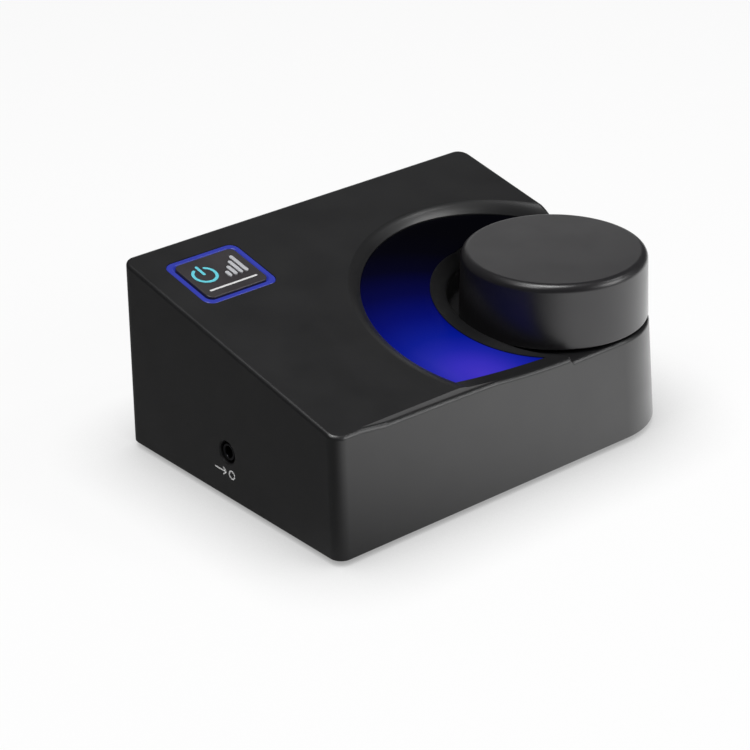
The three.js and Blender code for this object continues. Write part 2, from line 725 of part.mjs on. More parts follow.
function knobCap() {
  const side = (height) => knobRadius - (height - knobLow) * lean(knobDraft);
  const round = bottomEdgeRadius;
  const cavityHigh = knobTopHeight - knobRoof;
  const arcHeight = knobTopHeight - knobEdgeRadius;
  const arcRadius = side(arcHeight) - knobEdgeRadius;
  const profile = [[0, insertHigh + slipGap], [insertRadius + slipGap, insertHigh + slipGap]];
  profile.push([insertRadius + slipGap, insertLow], [knobHubRadius, insertLow], [knobHubRadius, cavityHigh]);
  profile.push([side(cavityHigh) - knobWall, cavityHigh], [side(knobLow) - knobWall, knobLow]);
  profile.push([side(knobLow) - round, knobLow], [side(knobLow + round), knobLow + round]);
  for (let step = 0; step <= knobEdgeSteps; step += 1) {
    const angle = (step / knobEdgeSteps) * Math.PI / 2;
    const radius = arcRadius + knobEdgeRadius * Math.cos(angle);
    profile.push([radius, arcHeight + knobEdgeRadius * Math.sin(angle)]);
  }
  profile.push([0, knobTopHeight]);
  const ribs = Array.from({ length: knobRibCount }, (_, step) => {
    const near = (insertRadius + knobHubRadius) / 2;
    const far = side(cavityHigh) - knobWall / 2;
    const half = knobRibThickness / 2;
    const low = cavityHigh - (cavityHigh - insertLow) * knobRibShare;
    const rib = block(near, far, -half, half, low, cavityHigh + knobRoof / 2);
    return solid(rib.rotateZ((step / knobRibCount) * 2 * Math.PI));
  });
  return joined([solid(turned(profile, knobSteps)), ...ribs]);
}

function knobInsert() {
  const sleeve = solid(bar(insertRadius, insertLow, insertHigh, socketSteps));
  return sleeve.subtract(dShaft(shaftRadius + slipGap, insertLow - overrun, insertHigh + overrun, shaftFlat));
}

// A round bar with a flat on its back side, cut along its upper part only
function dShaft(radius, low, high, flatDepth) {
  const flat = block(-radius, radius, radius - flatDepth, radius + overrun, low - overrun, high + overrun);
  return solid(bar(radius, low, high, socketSteps)).subtract(solid(flat));
}

function encoderShaft() {
  const round = solid(bar(shaftRadius, wellFloorHeight - wall, shaftFlatLow, socketSteps));
  return round.add(dShaft(shaftRadius, shaftFlatLow - overrun, shaftHigh, shaftFlat));
}

function encoderBushing() {
  const low = wellFloorHeight - wall - seatGap;
  const high = wellFloorHeight + bushingReach;
  const tube = solid(bar(bushingRadius, low, high, socketSteps));
  return tube.subtract(solid(bar(shaftRadius + slipGap, low - overrun, high + overrun, socketSteps)));
}

function addKnob(parent) {
  const unit = new THREE.Group();
  unit.position.set(knobX, knobY, 0);
  parent.add(unit);
  const width = encoderWidth / 2;
  const depth = encoderDepth / 2;
  const washerLow = wellFloorHeight + seatGap;
  const nutLow = washerLow + encoderWasherThickness + seatGap;
  const nutHigh = nutLow + encoderNutThickness;
  const bore = solid(bar(bushingRadius + slipGap, wellFloorHeight, nutHigh + overrun, socketSteps));
  const washer = solid(bar(encoderWasherRadius, washerLow, washerLow + encoderWasherThickness, socketSteps));
  const nut = solid(hexBar(encoderNutAcross, nutLow, nutHigh));
  const boardOutline = roundedRectangle(encoderBoardWidth, encoderBoardDepth, boardCornerRadius);
  const board = slab(boardOutline, encoderBoardLow, encoderBoardHigh);
  addPiece(unit, 'knob_cap', knobCap(), knobBlack);
  addPiece(unit, 'knob_insert', knobInsert(), brass);
  addPiece(unit, 'encoder_shaft', encoderShaft(), steel);
  addPiece(unit, 'encoder_bushing', encoderBushing(), steel);
  addPiece(unit, 'encoder_washer', washer.subtract(bore), steel);
  addPiece(unit, 'encoder_nut', nut.subtract(bore), steel);
  addPiece(unit, 'encoder_body', block(-width, width, -depth, depth, encoderLow, encoderHigh), plasticBlack);
  addPiece(unit, 'encoder_board', board, boardGreen);
}

// Crescent window, lamp board and lamps
function lightWindow() {
  return crescent(0, wellFloorHeight, openTop)
    .intersect(aboveScoop(windowThickness, 0))
    .subtract(aboveScoop(windowRecess, 0));
}

function lightBoard() {
  const reach = housingWidth;
  const plate = inUnit(lightUnit, block(-reach, reach, -reach, reach, -lightBoardThickness, 0));
  const disc = bar(scoopRadius + lightBoardBorder, shadowGap, openTop, scoopSteps);
  const well = bar(wellRadius + wall + lightBoardWellGap, 0, openTop + overrun, wellSteps);
  const front = roofFrontY + windowFrontStrip;
  const right = housingWidth / 2 - windowRightStrip;
  const field = block(-housingWidth / 2, right, front, housingDepth / 2, 0, openTop + overrun);
  const holes = lightPosts.map((spot) => {
    const hole = bar(stakeRadius + slipGap, -lightBoardThickness - overrun, overrun);
    return inUnit(lightUnit, hole.translate(spot.x, spot.y, 0));
  });
  return solid(disc.translate(scoopX, scoopY, 0))
    .subtract(solid(well.translate(knobX, knobY, 0)))
    .intersect(solid(field))
    .intersect(plate)
    .subtract(joined(holes));
}

function addLight(parent) {
  addPiece(parent, 'light_window', lightWindow(), lightBlue);
  addPiece(parent, 'light_board', lightBoard(), boardGreen);
  parent.add(lightUnit);
  ledAngles.forEach((degrees, number) => {
    const spot = lightSpot(degrees, windowMiddle(degrees));
    const half = [ledWidth / 2, ledDepth / 2];
    const lamp = block(-half[0], half[0], -half[1], half[1], seatGap, seatGap + ledHeight);
    const mesh = addPiece(lightUnit, `led_${number + 1}`, lamp, lampWhite);
    mesh.position.set(spot.x, spot.y, 0);
  });
}

// Push tile with its light frame, stem, plunger, switch and board
function badgeFrame() {
  const flangeHigh = -roofNormalWall - seatGap;
  const flangeLow = -badgeFrameDepth;
  const tube = roundedSlab(badgeWidth, badgeDepth, badgeCornerRadius, flangeLow, 0);
  const flangeWidth = badgeWidth + 2 * badgeFlange;
  const flangeDepth = badgeDepth + 2 * badgeFlange;
  const flangeRadius = badgeCornerRadius + badgeFlange;
  const flangeBottom = flangeHigh - badgeFlangeThickness;
  const flange = roundedSlab(flangeWidth, flangeDepth, flangeRadius, flangeBottom, flangeHigh);
  const holeWidth = badgeWidth - 2 * badgeFrameWidth;
  const holeDepth = badgeDepth - 2 * badgeFrameWidth;
  const hole = roundedSlab(holeWidth, holeDepth, tileCornerRadius, flangeLow - overrun, overrun);
  return solid(tube).add(solid(flange)).subtract(solid(hole));
}

function badgeTile() {
  const width = badgeWidth - 2 * badgeFrameWidth - 2 * slipGap;
  const depth = badgeDepth - 2 * badgeFrameWidth - 2 * slipGap;
  const cap = roundedSlab(width, depth, tileCornerRadius, tileFlangeLow, tileProud);
  const flangeWidth = width + 2 * tileFlange;
  const flangeDepth = depth + 2 * tileFlange;
  const flangeHigh = tileFlangeLow + tileFlangeThickness;
  const flange = roundedSlab(flangeWidth, flangeDepth, tileCornerRadius, tileFlangeLow, flangeHigh);
  const pocketWidth = width - 2 * tileWall;
  const pocketDepth = depth - 2 * tileWall;
  const pocketHigh = tileProud - tileRoof;
  const pocket = roundedSlab(pocketWidth, pocketDepth, tileCornerRadius, tileFlangeLow - overrun, pocketHigh);
  const stem = bar(tileStemRadius, tileStemLow, tileProud - tileRoof / 2);
  return solid(cap).add(solid(flange)).subtract(solid(pocket)).add(solid(stem));
}

function switchBody() {
  const half = switchSize / 2;
  const high = badgeBoardHigh + switchHeight;
  const cup = bar(plungerRadius + slipGap, high - tileTravel - looseGap - plungerReach, high + overrun);
  return solid(block(-half, half, -half, half, badgeBoardHigh + seatGap, high)).subtract(solid(cup));
}

function badgeBoard() {
  const width = 2 * (badgePostX + badgePostRadius + badgeBoardBorder);
  const plate = roundedSlab(width, badgeBoardDepth, boardCornerRadius, badgeBoardLow, badgeBoardHigh);
  const holes = [-badgePostX, badgePostX].map((across) => {
    const hole = bar(stakeRadius + slipGap, badgeBoardLow - overrun, badgeBoardHigh + overrun);
    return solid(hole.translate(across, 0, 0));
  });
  return solid(plate).subtract(joined(holes));
}

function addBadge(parent) {
  parent.add(badgeUnit);
  const plunger = bar(plungerRadius, plungerLow - plungerReach + tileTravel, tileStemLow - seatGap);
  addPiece(badgeUnit, 'badge_frame', badgeFrame(), frameBlue);
  addPiece(badgeUnit, 'badge_tile', badgeTile(), tileBlack);
  addPiece(badgeUnit, 'badge_plunger', plunger, plasticBlack);
  addPiece(badgeUnit, 'badge_switch', switchBody(), steel);
  addPiece(badgeUnit, 'badge_board', badgeBoard(), boardGreen);
}

// Main board with its notched back corners, clear of the shell's screw bosses
function mainBoard() {
  const left = -housingWidth / 2 + mainBoardLeftInset;
  const right = housingWidth / 2 - mainBoardRightInset;
  const back = innerBackY(mainBoardHeight) - mainBoardBackGap;
  const front = back - mainBoardDepth;
  const notchY = back - mainBoardNotchDepth;
  const shape = new THREE.Shape();
  shape.moveTo(left, front);
  shape.lineTo(right, front);
  shape.lineTo(right, notchY);
  shape.lineTo(right - mainBoardNotchWidth, notchY);
  shape.lineTo(right - mainBoardNotchWidth, back);
  shape.lineTo(left + mainBoardNotchWidth, back);
  shape.lineTo(left + mainBoardNotchWidth, notchY);
  shape.lineTo(left, notchY);
  const holes = boardScrewSpots.map(([x, y]) => {
    const hole = bar(screwShankRadius + looseGap, mainBoardHeight - overrun, mainBoardTop + overrun);
    return solid(hole.translate(x, y, 0));
  });
  return solid(slab(shape, mainBoardHeight, mainBoardTop)).subtract(joined(holes));
}

const onBoard = (width, depth, height) => {
  return block(-width / 2, width / 2, -depth / 2, depth / 2, componentLow, componentLow + height);
};

function addMainBoard(parent) {
  addPiece(parent, 'main_board', mainBoard(), boardGreen);
  addPiece(parent, 'wireless_module', onBoard(moduleWidth, moduleDepth, moduleHeight), steel)
    .position.set(acrossBack(moduleShare), backY - modulePlace, 0);
  addPiece(parent, 'audio_chip', onBoard(chipSize, chipSize, chipHeight), plasticBlack)
    .position.set(acrossBack(chipShare), backY - chipPlace, 0);
  for (let number = 0; number < capacitorCount; number += 1) {
    const can = bar(capacitorRadius, componentLow, componentLow + capacitorHeight, socketSteps);
    addPiece(parent, `capacitor_${number + 1}`, can, steel)
      .position.set(acrossBack(capacitorShare) + (number - 1) * capacitorPitch, backY - capacitorPlace, 0);
  }
}

// Auxiliary input: a body on the board and a bush that looks out through the left side
function addAuxInput(parent) {
  const bodyLow = innerLeftX(auxHeight) + looseGap;
  const bodyHigh = bodyLow + auxBodyLength;
  const bushLow = -housingWidth / 2 + auxBushInset;
  const half = auxBodyWidth / 2;
  const low = componentLow - auxHeight;
  const body = solid(block(bodyLow, bodyHigh, -half, half, low, low + auxBodyHeight));
  const bore = solid(barAlongX(auxBoreRadius, bushLow - overrun, bushLow + auxBoreDepth));
  const bush = solid(barAlongX(auxBushRadius, bushLow, bodyLow - seatGap));
  const mouth = solid(barAlongX(auxBoreRadius + auxMouth, bushLow - overrun, bushLow + auxMouth));
  const unit = new THREE.Group();
  unit.position.set(0, auxY, auxHeight);
  parent.add(unit);
  addPiece(unit, 'aux_input_body', body.subtract(bore), plasticBlack);
  addPiece(unit, 'aux_input_bush', bush.subtract(bore).subtract(mouth), steel);
}

// One balanced output: the body on the board, its threaded bush through the back, and the nut
function addOutput(parent, side, x) {
  const bodyHigh = innerBackY(outputHeight) - looseGap;
  const nutLow = housingDepth / 2 + seatGap;
  const bushHigh = nutLow + outputNutThickness + outputThreadReach;
  const half = outputBodyWidth / 2;
  const tall = outputBodyHeight / 2;
  const body = solid(block(-half, half, bodyHigh - outputBodyLength, bodyHigh, -tall, tall));
  const bush = solid(barAlongY(outputBushRadius, bodyHigh - overrun, bushHigh));
  const bore = solid(barAlongY(outputBoreRadius, bushHigh - outputBoreDepth, bushHigh + overrun));
  const nut = solid(hexBarAlongY(outputNutAcross, nutLow, nutLow + outputNutThickness));
  const thread = solid(barAlongY(outputBushRadius + slipGap, nutLow - overrun, bushHigh + overrun));
  const unit = new THREE.Group();
  unit.position.set(x, 0, outputHeight);
  parent.add(unit);
  addPiece(unit, `output_jack_${side}`, body.add(bush).subtract(bore), plasticBlack);
  addPiece(unit, `output_nut_${side}`, nut.subtract(thread), steel);
}

// The pair of line inputs: one body, two barrels and their coloured cores
function addLineInputs(parent) {
  const bodyHigh = innerBackY(inputHeight) - looseGap;
  const tall = inputBodyHeight / 2;
  const [first, second] = inputSpots;
  const left = first - inputBodyBorder;
  const right = second + inputBodyBorder;
  const body = block(left, right, bodyHigh - inputBodyLength, bodyHigh, -tall, tall);
  const unit = new THREE.Group();
  unit.position.set(0, 0, inputHeight);
  parent.add(unit);
  addPiece(unit, 'input_body', body, plasticBlack);
  const barrelHigh = housingDepth / 2 + inputBarrelReach;
  const low = bodyHigh + seatGap;
  const finishes = { left: plasticWhite, right: plasticRed };
  Object.entries(finishes).forEach(([side, finish], number) => {
    const tube = solid(barAlongY(inputBarrelRadius, low, barrelHigh));
    const hollow = solid(barAlongY(inputBarrelBore, low - overrun, barrelHigh + overrun));
    const coreHigh = barrelHigh - inputCoreSet;
    const core = solid(barAlongY(inputBarrelBore - slipGap, low, coreHigh));
    const pinHole = solid(barAlongY(inputPinRadius, coreHigh - inputPinDepth, coreHigh + overrun));
    addPiece(unit, `input_barrel_${side}`, tube.subtract(hollow), steel).position.x = inputSpots[number];
    addPiece(unit, `input_core_${side}`, core.subtract(pinHole), finish).position.x = inputSpots[number];
  });
}

function addPowerInlet(parent) {
  const bodyHigh = innerBackY(powerHeight) - looseGap;
  const ringHigh = housingDepth / 2 - powerRingInset;
  const half = powerBodyWidth / 2;
  const tall = powerBodyHeight / 2;
  const body = solid(block(-half, half, bodyHigh - powerBodyLength, bodyHigh, -tall, tall));
  const ring = solid(barAlongY(powerRingRadius, bodyHigh - overrun, ringHigh));
  const boreLow = ringHigh - powerBoreDepth;
  const bore = solid(barAlongY(powerBoreRadius, boreLow, ringHigh + overrun));
  const pin = barAlongY(powerPinRadius, boreLow + seatGap, ringHigh - powerRingInset, pinSteps);
  const unit = new THREE.Group();
  unit.position.set(powerX, 0, powerHeight);
  parent.add(unit);
  addPiece(unit, 'power_inlet', body.add(ring).subtract(bore), plasticBlack);
  addPiece(unit, 'power_pin', pin, steel);
}

function addFasteners(parent) {
  baseScrewSpots.forEach(([x, y], number) => {
    addPiece(parent, `base_screw_${number + 1}`, screw(screwLength), steel)
      .position.set(x, y, baseLow + screwHeadHeight);
  });
  boardScrewSpots.forEach(([x, y], number) => {
    const piece = addPiece(parent, `board_screw_${number + 1}`, screw(boardScrewLength), steel);
    piece.position.set(x, y, mainBoardTop + seatGap);
    piece.rotation.x = Math.PI;
  });
  footSpots.forEach(([x, y], number) => {
    addPiece(parent, `foot_${number + 1}`, foot(), rubber).position.set(x, y, 0);
  });
}

// The whole controller, with its origin on the table under the middle of its box
const controller = new THREE.Group();
controller.position.y = -rearReach / 2;
addPiece(controller, 'upper_shell', upperShell(), shellBlack);
addPiece(controller, 'base_plate', basePlate(), baseBlack);
addKnob(controller);
addLight(controller);
addBadge(controller);
addMainBoard(controller);
addAuxInput(controller);
outputSpots.forEach((x, number) => addOutput(controller, ['left', 'right'][number], x));
addLineInputs(controller);
addPowerInlet(controller);
addFasteners(controller);

export default controller;
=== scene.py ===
# %% [markdown]
# Studio monitor controller, dressed in Blender
#
# The object is a black moulded wedge with a large knob at its right front, a dished scoop with a lit
# crescent window round the knob, and a framed push tile at the back left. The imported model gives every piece
# its place and its movement. This lesson gives them their surfaces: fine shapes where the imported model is
# coarse, and a material for each plastic, metal, rubber and board.

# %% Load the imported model
import math

import bmesh
import bpy
import numpy as np
from mathutils import Matrix, Vector
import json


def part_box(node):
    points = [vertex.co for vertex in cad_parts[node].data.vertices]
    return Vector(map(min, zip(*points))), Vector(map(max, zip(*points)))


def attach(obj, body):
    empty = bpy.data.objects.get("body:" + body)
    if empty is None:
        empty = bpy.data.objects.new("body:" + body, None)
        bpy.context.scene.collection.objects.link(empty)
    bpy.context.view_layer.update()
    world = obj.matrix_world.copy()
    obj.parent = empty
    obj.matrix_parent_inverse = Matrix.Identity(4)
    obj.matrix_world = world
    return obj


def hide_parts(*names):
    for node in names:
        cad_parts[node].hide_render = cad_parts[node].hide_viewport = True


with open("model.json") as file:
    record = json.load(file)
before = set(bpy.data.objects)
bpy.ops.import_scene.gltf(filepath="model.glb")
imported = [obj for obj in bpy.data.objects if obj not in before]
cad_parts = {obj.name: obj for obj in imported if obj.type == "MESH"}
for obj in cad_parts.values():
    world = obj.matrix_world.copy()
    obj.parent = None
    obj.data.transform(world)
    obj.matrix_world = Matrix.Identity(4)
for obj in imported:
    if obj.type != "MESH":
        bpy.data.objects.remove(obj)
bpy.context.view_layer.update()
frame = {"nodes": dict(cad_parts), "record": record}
MM = 0.001

# %% [markdown]
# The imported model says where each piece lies, so most places are read from it. What it can't say directly,
# such as how far a wall leans or how round an edge is, is a named value in millimetres, as on a drawing.
#
# The roof is a plane that rises to the back. The scoop is a circle pressed into it, whose floor is a shallow
# bowl. The well is a deeper circle round the knob, with a notch through the front rim. A narrow band slants
# from the well's edge up to the window, a crescent between the scoop's circle and a smaller one.

# %% Places and sizes of the housing, in millimetres
def box_of(node):
    """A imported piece's lowest and highest corner, in millimetres."""
    return [np.array(corner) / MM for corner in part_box(node)]


shell_low, shell_high = box_of("upper_shell")
HALF_WIDTH = (shell_high[0] - shell_low[0]) / 2
FRONT_Y, BACK_Y = shell_low[1], shell_high[1]
MIDDLE_Y = (FRONT_Y + BACK_Y) / 2
HALF_DEPTH = (BACK_Y - FRONT_Y) / 2
FOOT_GAP = shell_low[2]
WIDEST_Z = FOOT_GAP + 0.5
WALL = 2.4
LEFT_LEAN, FRONT_LEAN, RIGHT_LEAN, BACK_LEAN = (math.tan(math.radians(d)) for d in (0.4, 1.7, 4.1, 0.2))
SMALL_CORNER, KNOB_CORNER = 4.0, 26.0
TOP_EDGE = 1.2
FRONT_HEIGHT, BACK_HEIGHT = 40.2, 61.6
ROOF_FRONT_Y = FRONT_Y + (FRONT_HEIGHT - WIDEST_Z) * FRONT_LEAN
ROOF_BACK_Y = BACK_Y - (BACK_HEIGHT - WIDEST_Z) * BACK_LEAN
ROOF_SLOPE = (BACK_HEIGHT - FRONT_HEIGHT) / (ROOF_BACK_Y - ROOF_FRONT_Y)
OPEN_TOP = BACK_HEIGHT + 4
print("roof slope, degrees:", round(math.degrees(math.atan(ROOF_SLOPE)), 2))

# %% Places and sizes of the knob, the scoop, the well and the window
knob_low, knob_high = box_of("knob_cap")
KNOB = (knob_low[:2] + knob_high[:2]) / 2
KNOB_RADIUS = (knob_high[1] - knob_low[1]) / 2
SCOOP = KNOB + (-13.86, -4.39)
SCOOP_RADIUS, SCOOP_WALL, RIM_SHIFT, SCOOP_RISE = 51.26, 6.0, -2.4, 0.12
BOWL_SLOPE, BOWL_BEND, BOWL_DROP = (0.0288, 0.1984), (0.001467, 0.002205), 6.47
BOWL_Z = FRONT_HEIGHT + (KNOB[1] - ROOF_FRONT_Y) * ROOF_SLOPE - BOWL_DROP
WELL_GAP, WELL_DEPTH, WELL_ROUND = 3.65, 5.03, 1.2
WELL_RADIUS, WELL_Z = KNOB_RADIUS + WELL_GAP, BOWL_Z - WELL_DEPTH
NOTCH_REACH, NOTCH_LIMIT = 19.8, 36.5
BAND_SLOPE, BAND_WIDTH = 0.111, 1.6
WINDOW = KNOB + (-7.83, 1.47)
WINDOW_RADIUS, WINDOW_RING = 31.0, WELL_RADIUS + BAND_WIDTH
FRONT_STRIP, RIGHT_STRIP = 5.1, 9.0
WINDOW_EDGE, WINDOW_FRONT, WINDOW_RIGHT = 0.3, ROOF_FRONT_Y + FRONT_STRIP, HALF_WIDTH - RIGHT_STRIP
print("knob axis, mm:", KNOB.round(2), "bowl height:", round(BOWL_Z, 2), "well floor:", round(WELL_Z, 2))

# %% [markdown]
# Every new surface is made the same way: rows of points, worked out as whole arrays, with quads between
# neighbouring rows. A turned piece, a lofted housing and a swept frame differ only in how the rows are made.

# %% Rows of points to a mesh
def skin(rings, closed=False):
    """Points and faces of a tube of quads over rings of equal length, each anticlockwise from above, lowest
    first. closed joins the last ring to the first, otherwise both ends get one flat face."""
    rows, count = rings.shape[:2]
    here = np.arange(count)
    following = (here + 1) % count
    lower = np.arange(rows if closed else rows - 1)[:, None] * count
    upper = (lower + count) % (rows * count)
    quads = np.stack([lower + here, lower + following, upper + following, upper + here], -1)
    faces = quads.reshape(-1, 4).tolist()
    if not closed:
        faces += [here[::-1].tolist(), (here + (rows - 1) * count).tolist()]
    return rings.reshape(-1, 3), faces


def turned(profile, steps=96, centre=(0, 0), closed=False):
    """The profile, rows of (radius, height), carried round an upright axis through centre:
    x = centre x + radius cos(angle), y = centre y + radius sin(angle), z = height."""
    radius, height = np.array(profile, float).T
    angle = np.linspace(0, 2 * np.pi, steps, endpoint=False)
    x = centre[0] + radius[:, None] * np.cos(angle)
    y = centre[1] + radius[:, None] * np.sin(angle)
    return skin(np.stack([x, y, np.broadcast_to(height[:, None], x.shape)], -1), closed)


def laid_along(axis, shape, place):
    """A shape turned about Z, laid down so that its height runs along +Y or along -X, and moved to place."""
    points, faces = shape
    turn = {"+Y": [[1, 0, 0], [0, 0, 1], [0, -1, 0]], "-X": [[0, 0, -1], [0, 1, 0], [1, 0, 0]]}[axis]
    return points @ np.array(turn, float).T + place, faces


def arc_points(centre, radius, start, end, steps):
    """Points on an arc, from start to end in degrees: (centre x + radius cos, centre y + radius sin)."""
    angle = np.radians(np.linspace(start, end, steps))
    return np.stack([centre[0] + radius * np.cos(angle), centre[1] + radius * np.sin(angle)], -1)


def rounded(centre, radius, start, end, steps):
    """The same points as a list, to be set into a profile of (across, up)."""
    return arc_points(centre, radius, start, end, steps).tolist()


def plate(loop, low, high):
    """A closed line of (x, y), anticlockwise, as an upright block between two heights."""
    return skin(np.array([[(*point, z) for point in loop] for z in (low, high)], float))


def plain_box(low, high):
    """A box with sharp edges between its lowest and highest corner."""
    (left, front, under), (right, back, over) = low, high
    return plate([(left, front), (right, front), (right, back), (left, back)], under, over)


print("a turned disc has", len(turned([(5, 0), (5, 1)])[1]), "faces")

# %% Mesh objects, shading and cutting
def mesh_object(name, shape):
    """An object whose mesh holds the shape's points, turned from millimetres to metres, and its faces."""
    mesh = bpy.data.meshes.new(name)
    points, faces = shape
    mesh.from_pydata((np.asarray(points) * MM).tolist(), [], faces)
    made = bpy.data.objects.new(name, mesh)
    bpy.context.collection.objects.link(made)
    return made


def tidied(made, reach=0.004):
    """Merges points closer than reach, in millimetres, and drops faces without area."""
    work = bmesh.new()
    work.from_mesh(made.data)
    bmesh.ops.remove_doubles(work, verts=work.verts, dist=reach * MM)
    bmesh.ops.dissolve_degenerate(work, edges=work.edges, dist=reach * MM / 4)
    work.to_mesh(made.data)
    work.free()


def settled(made):
    """Replaces the object's mesh by what its modifiers make of it."""
    bpy.context.view_layer.update()
    evaluated = made.evaluated_get(bpy.context.evaluated_depsgraph_get())
    mesh = bpy.data.meshes.new_from_object(evaluated)
    made.modifiers.clear()
    made.data = mesh


def carved(made, cutters, operation="DIFFERENCE"):
    """Cuts each shape in cutters out of the object, one after the other."""
    helpers = [mesh_object("cutter", shape) for shape in cutters]
    for helper in helpers:
        modifier = made.modifiers.new("cut", "BOOLEAN")
        modifier.operation, modifier.solver, modifier.object = operation, "MANIFOLD", helper
    settled(made)
    for helper in helpers:
        bpy.data.objects.remove(helper)


def shape_of(made):
    """An object's mesh as points in millimetres and faces, so that it can be cut out of another."""
    points = np.empty(len(made.data.vertices) * 3)
    made.data.vertices.foreach_get("co", points)
    return points.reshape(-1, 3) / MM, [list(face.vertices) for face in made.data.polygons]


def dressed(made, material, body, stands_for=(), crease=30):
    """Smooth shading that breaks at edges sharper than crease, a material, and the body that it rides on."""
    made.data.shade_smooth()
    made.data.set_sharp_from_angle(angle=math.radians(crease))
    weighted = made.modifiers.new("even shading", "WEIGHTED_NORMAL")
    weighted.keep_sharp, weighted.weight = True, 80
    made.data.materials.clear()
    made.data.materials.append(material)
    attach(made, body)
    if stands_for:
        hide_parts(*stands_for)
    print(made.name, "faces:", len(made.data.polygons))
    return made


# %% [markdown]
# A material starts from what the real surface is. Its colour is written as on a screen, in sRGB, and turned
# to the linear values that the shader needs. Fine grain is a noise pattern whose size is a real length.

# %% Colours and nodes
def colour(text):
    """An sRGB hex value as linear red, green, blue and alpha: v / 12.92 where it is dark, and otherwise
    ((v + 0.055) / 1.055) ** 2.4."""
    values = np.array([int(text[i:i + 2], 16) for i in (1, 3, 5)]) / 255
    linear = np.where(values <= 0.04045, values / 12.92, ((values + 0.055) / 1.055) ** 2.4)
    return (*linear.tolist(), 1.0)


def add_node(tree, kind, settings=None, **inputs):
    """Adds a node, applies its settings and fills its inputs; an input that is a socket is linked."""
    node = tree.nodes.new(kind)
    for key, value in (settings or {}).items():
        setattr(node, key, value)
    for key, value in inputs.items():
        place = int(key[1:]) if key[0] == "i" and key[1:].isdigit() else key.replace("_", " ")
        if isinstance(value, bpy.types.NodeSocket):
            tree.links.new(value, node.inputs[place])
        else:
            node.inputs[place].default_value = value
    return node


def surface(name, base, roughness, ior=1.5, metallic=0.0):
    """A material with one Principled shader, whose plain numbers sit on its own sockets."""
    material = bpy.data.materials.new(name)
    material.use_nodes = True
    shader = material.node_tree.nodes["Principled BSDF"]
    settings = {"Base Color": colour(base), "Roughness": roughness, "IOR": ior, "Metallic": metallic}
    for key, value in settings.items():
        shader.inputs[key].default_value = value
    material.diffuse_color = colour(base)
    return material, material.node_tree, shader


def grained(tree, shader, size, depth):
    """Bump from a noise whose grains are size millimetres wide and depth millimetres deep."""
    place = add_node(tree, "ShaderNodeTexCoord").outputs["Object"]
    noise = add_node(tree, "ShaderNodeTexNoise", Vector=place, Scale=1 / (size * MM), Detail=3.0)
    bump = add_node(tree, "ShaderNodeBump", Height=noise.outputs["Fac"], Distance=depth * MM, Strength=1.0)
    tree.links.new(bump.outputs[0], shader.inputs["Normal"])


def mottled(tree, shader, socket, low, high, size):
    """Drives one socket between two values by a broad, soft noise, as handling and moulding leave them."""
    place = add_node(tree, "ShaderNodeTexCoord").outputs["Object"]
    noise = add_node(tree, "ShaderNodeTexNoise", Vector=place, Scale=1 / (size * MM), Detail=2.0)
    if isinstance(low, str):
        mix = add_node(tree, "ShaderNodeMix", {"data_type": "RGBA"}, Factor=noise.outputs["Fac"])
        mix.inputs[6].default_value, mix.inputs[7].default_value = colour(low), colour(high)
        tree.links.new(mix.outputs[2], shader.inputs[socket])
    else:
        spread = add_node(tree, "ShaderNodeMapRange", Value=noise.outputs["Fac"], From_Min=0.3, From_Max=0.7)
        spread.inputs["To Min"].default_value, spread.inputs["To Max"].default_value = low, high
        tree.links.new(spread.outputs[0], shader.inputs[socket])


print("mid grey #808080 is", round(colour("#808080")[0], 3), "in linear light")

# %% [markdown]
# The housing and the base are ABS, injection moulded in a spark-eroded tool. The erosion leaves pits a few
# hundredths of a millimetre wide, which the eye reads as satin. They are too fine for a render at this size,
# so the grain is drawn about ten times coarser and very shallow. The knob is the same plastic from a finer
# tool, so it is a little smoother.

# %% Moulded plastics
TONE_CLOUD, SHEEN_CLOUD = 9, 14


def moulded_abs(name, dark, light, smooth, rough, grain, depth):
    """Plastic with slow clouds of tone and sheen, as the melt leaves them, and the tool's even grain."""
    material, tree, shader = surface(name, dark, rough, ior=1.53)
    mottled(tree, shader, "Base Color", dark, light, TONE_CLOUD)
    mottled(tree, shader, "Roughness", smooth, rough, SHEEN_CLOUD)
    grained(tree, shader, grain, depth)
    return material


shell_abs = moulded_abs("satin_black_abs", "#161617", "#1b1b1c", 0.33, 0.39, 0.35, 0.008)
base_abs = moulded_abs("matt_black_abs", "#161617", "#1b1b1c", 0.58, 0.68, 0.45, 0.020)
knob_abs = moulded_abs("fine_satin_black_abs", "#1c1b1d", "#201f21", 0.30, 0.36, 0.28, 0.007)
tile_abs = moulded_abs("sparkle_textured_black_abs", "#2a2729", "#363235", 0.34, 0.46, 0.22, 0.016)
nylon = moulded_abs("glass_filled_black_nylon", "#121213", "#191919", 0.42, 0.55, 0.40, 0.015)
white_abs = moulded_abs("white_abs", "#e2e0da", "#e8e6e0", 0.30, 0.38, 0.60, 0.006)
red_abs = moulded_abs("red_abs", "#a81f1c", "#b3231f", 0.30, 0.38, 0.60, 0.006)
mouldings = (shell_abs, base_abs, knob_abs, tile_abs, nylon, white_abs, red_abs)
print("mouldings:", [made.name for made in mouldings])

# %% [markdown]
# The crescent is tinted acrylic with lamps under it. The lamp at its front tip shines brightest and the glow
# fades to nothing towards the back, where the glossy tint looks black. The glow depends only on the distance
# from that lamp, so it stays in place from every side. The frame round the tile is a light guide, lit evenly.

# %% Lit plastics
GLOW_PLACE, GLOW_REACH = (*(SCOOP + (-35.8, -18.1)), BOWL_Z), 75
GLOW_STOPS = ((0.0, "#4133be"), (0.1, "#352db7"), (0.2, "#1b22a2"), (0.3, "#03168c"), (0.45, "#000869"),
              (0.6, "#00023f"), (0.75, "#000017"), (0.87, "#000005"), (1.0, "#000001"))


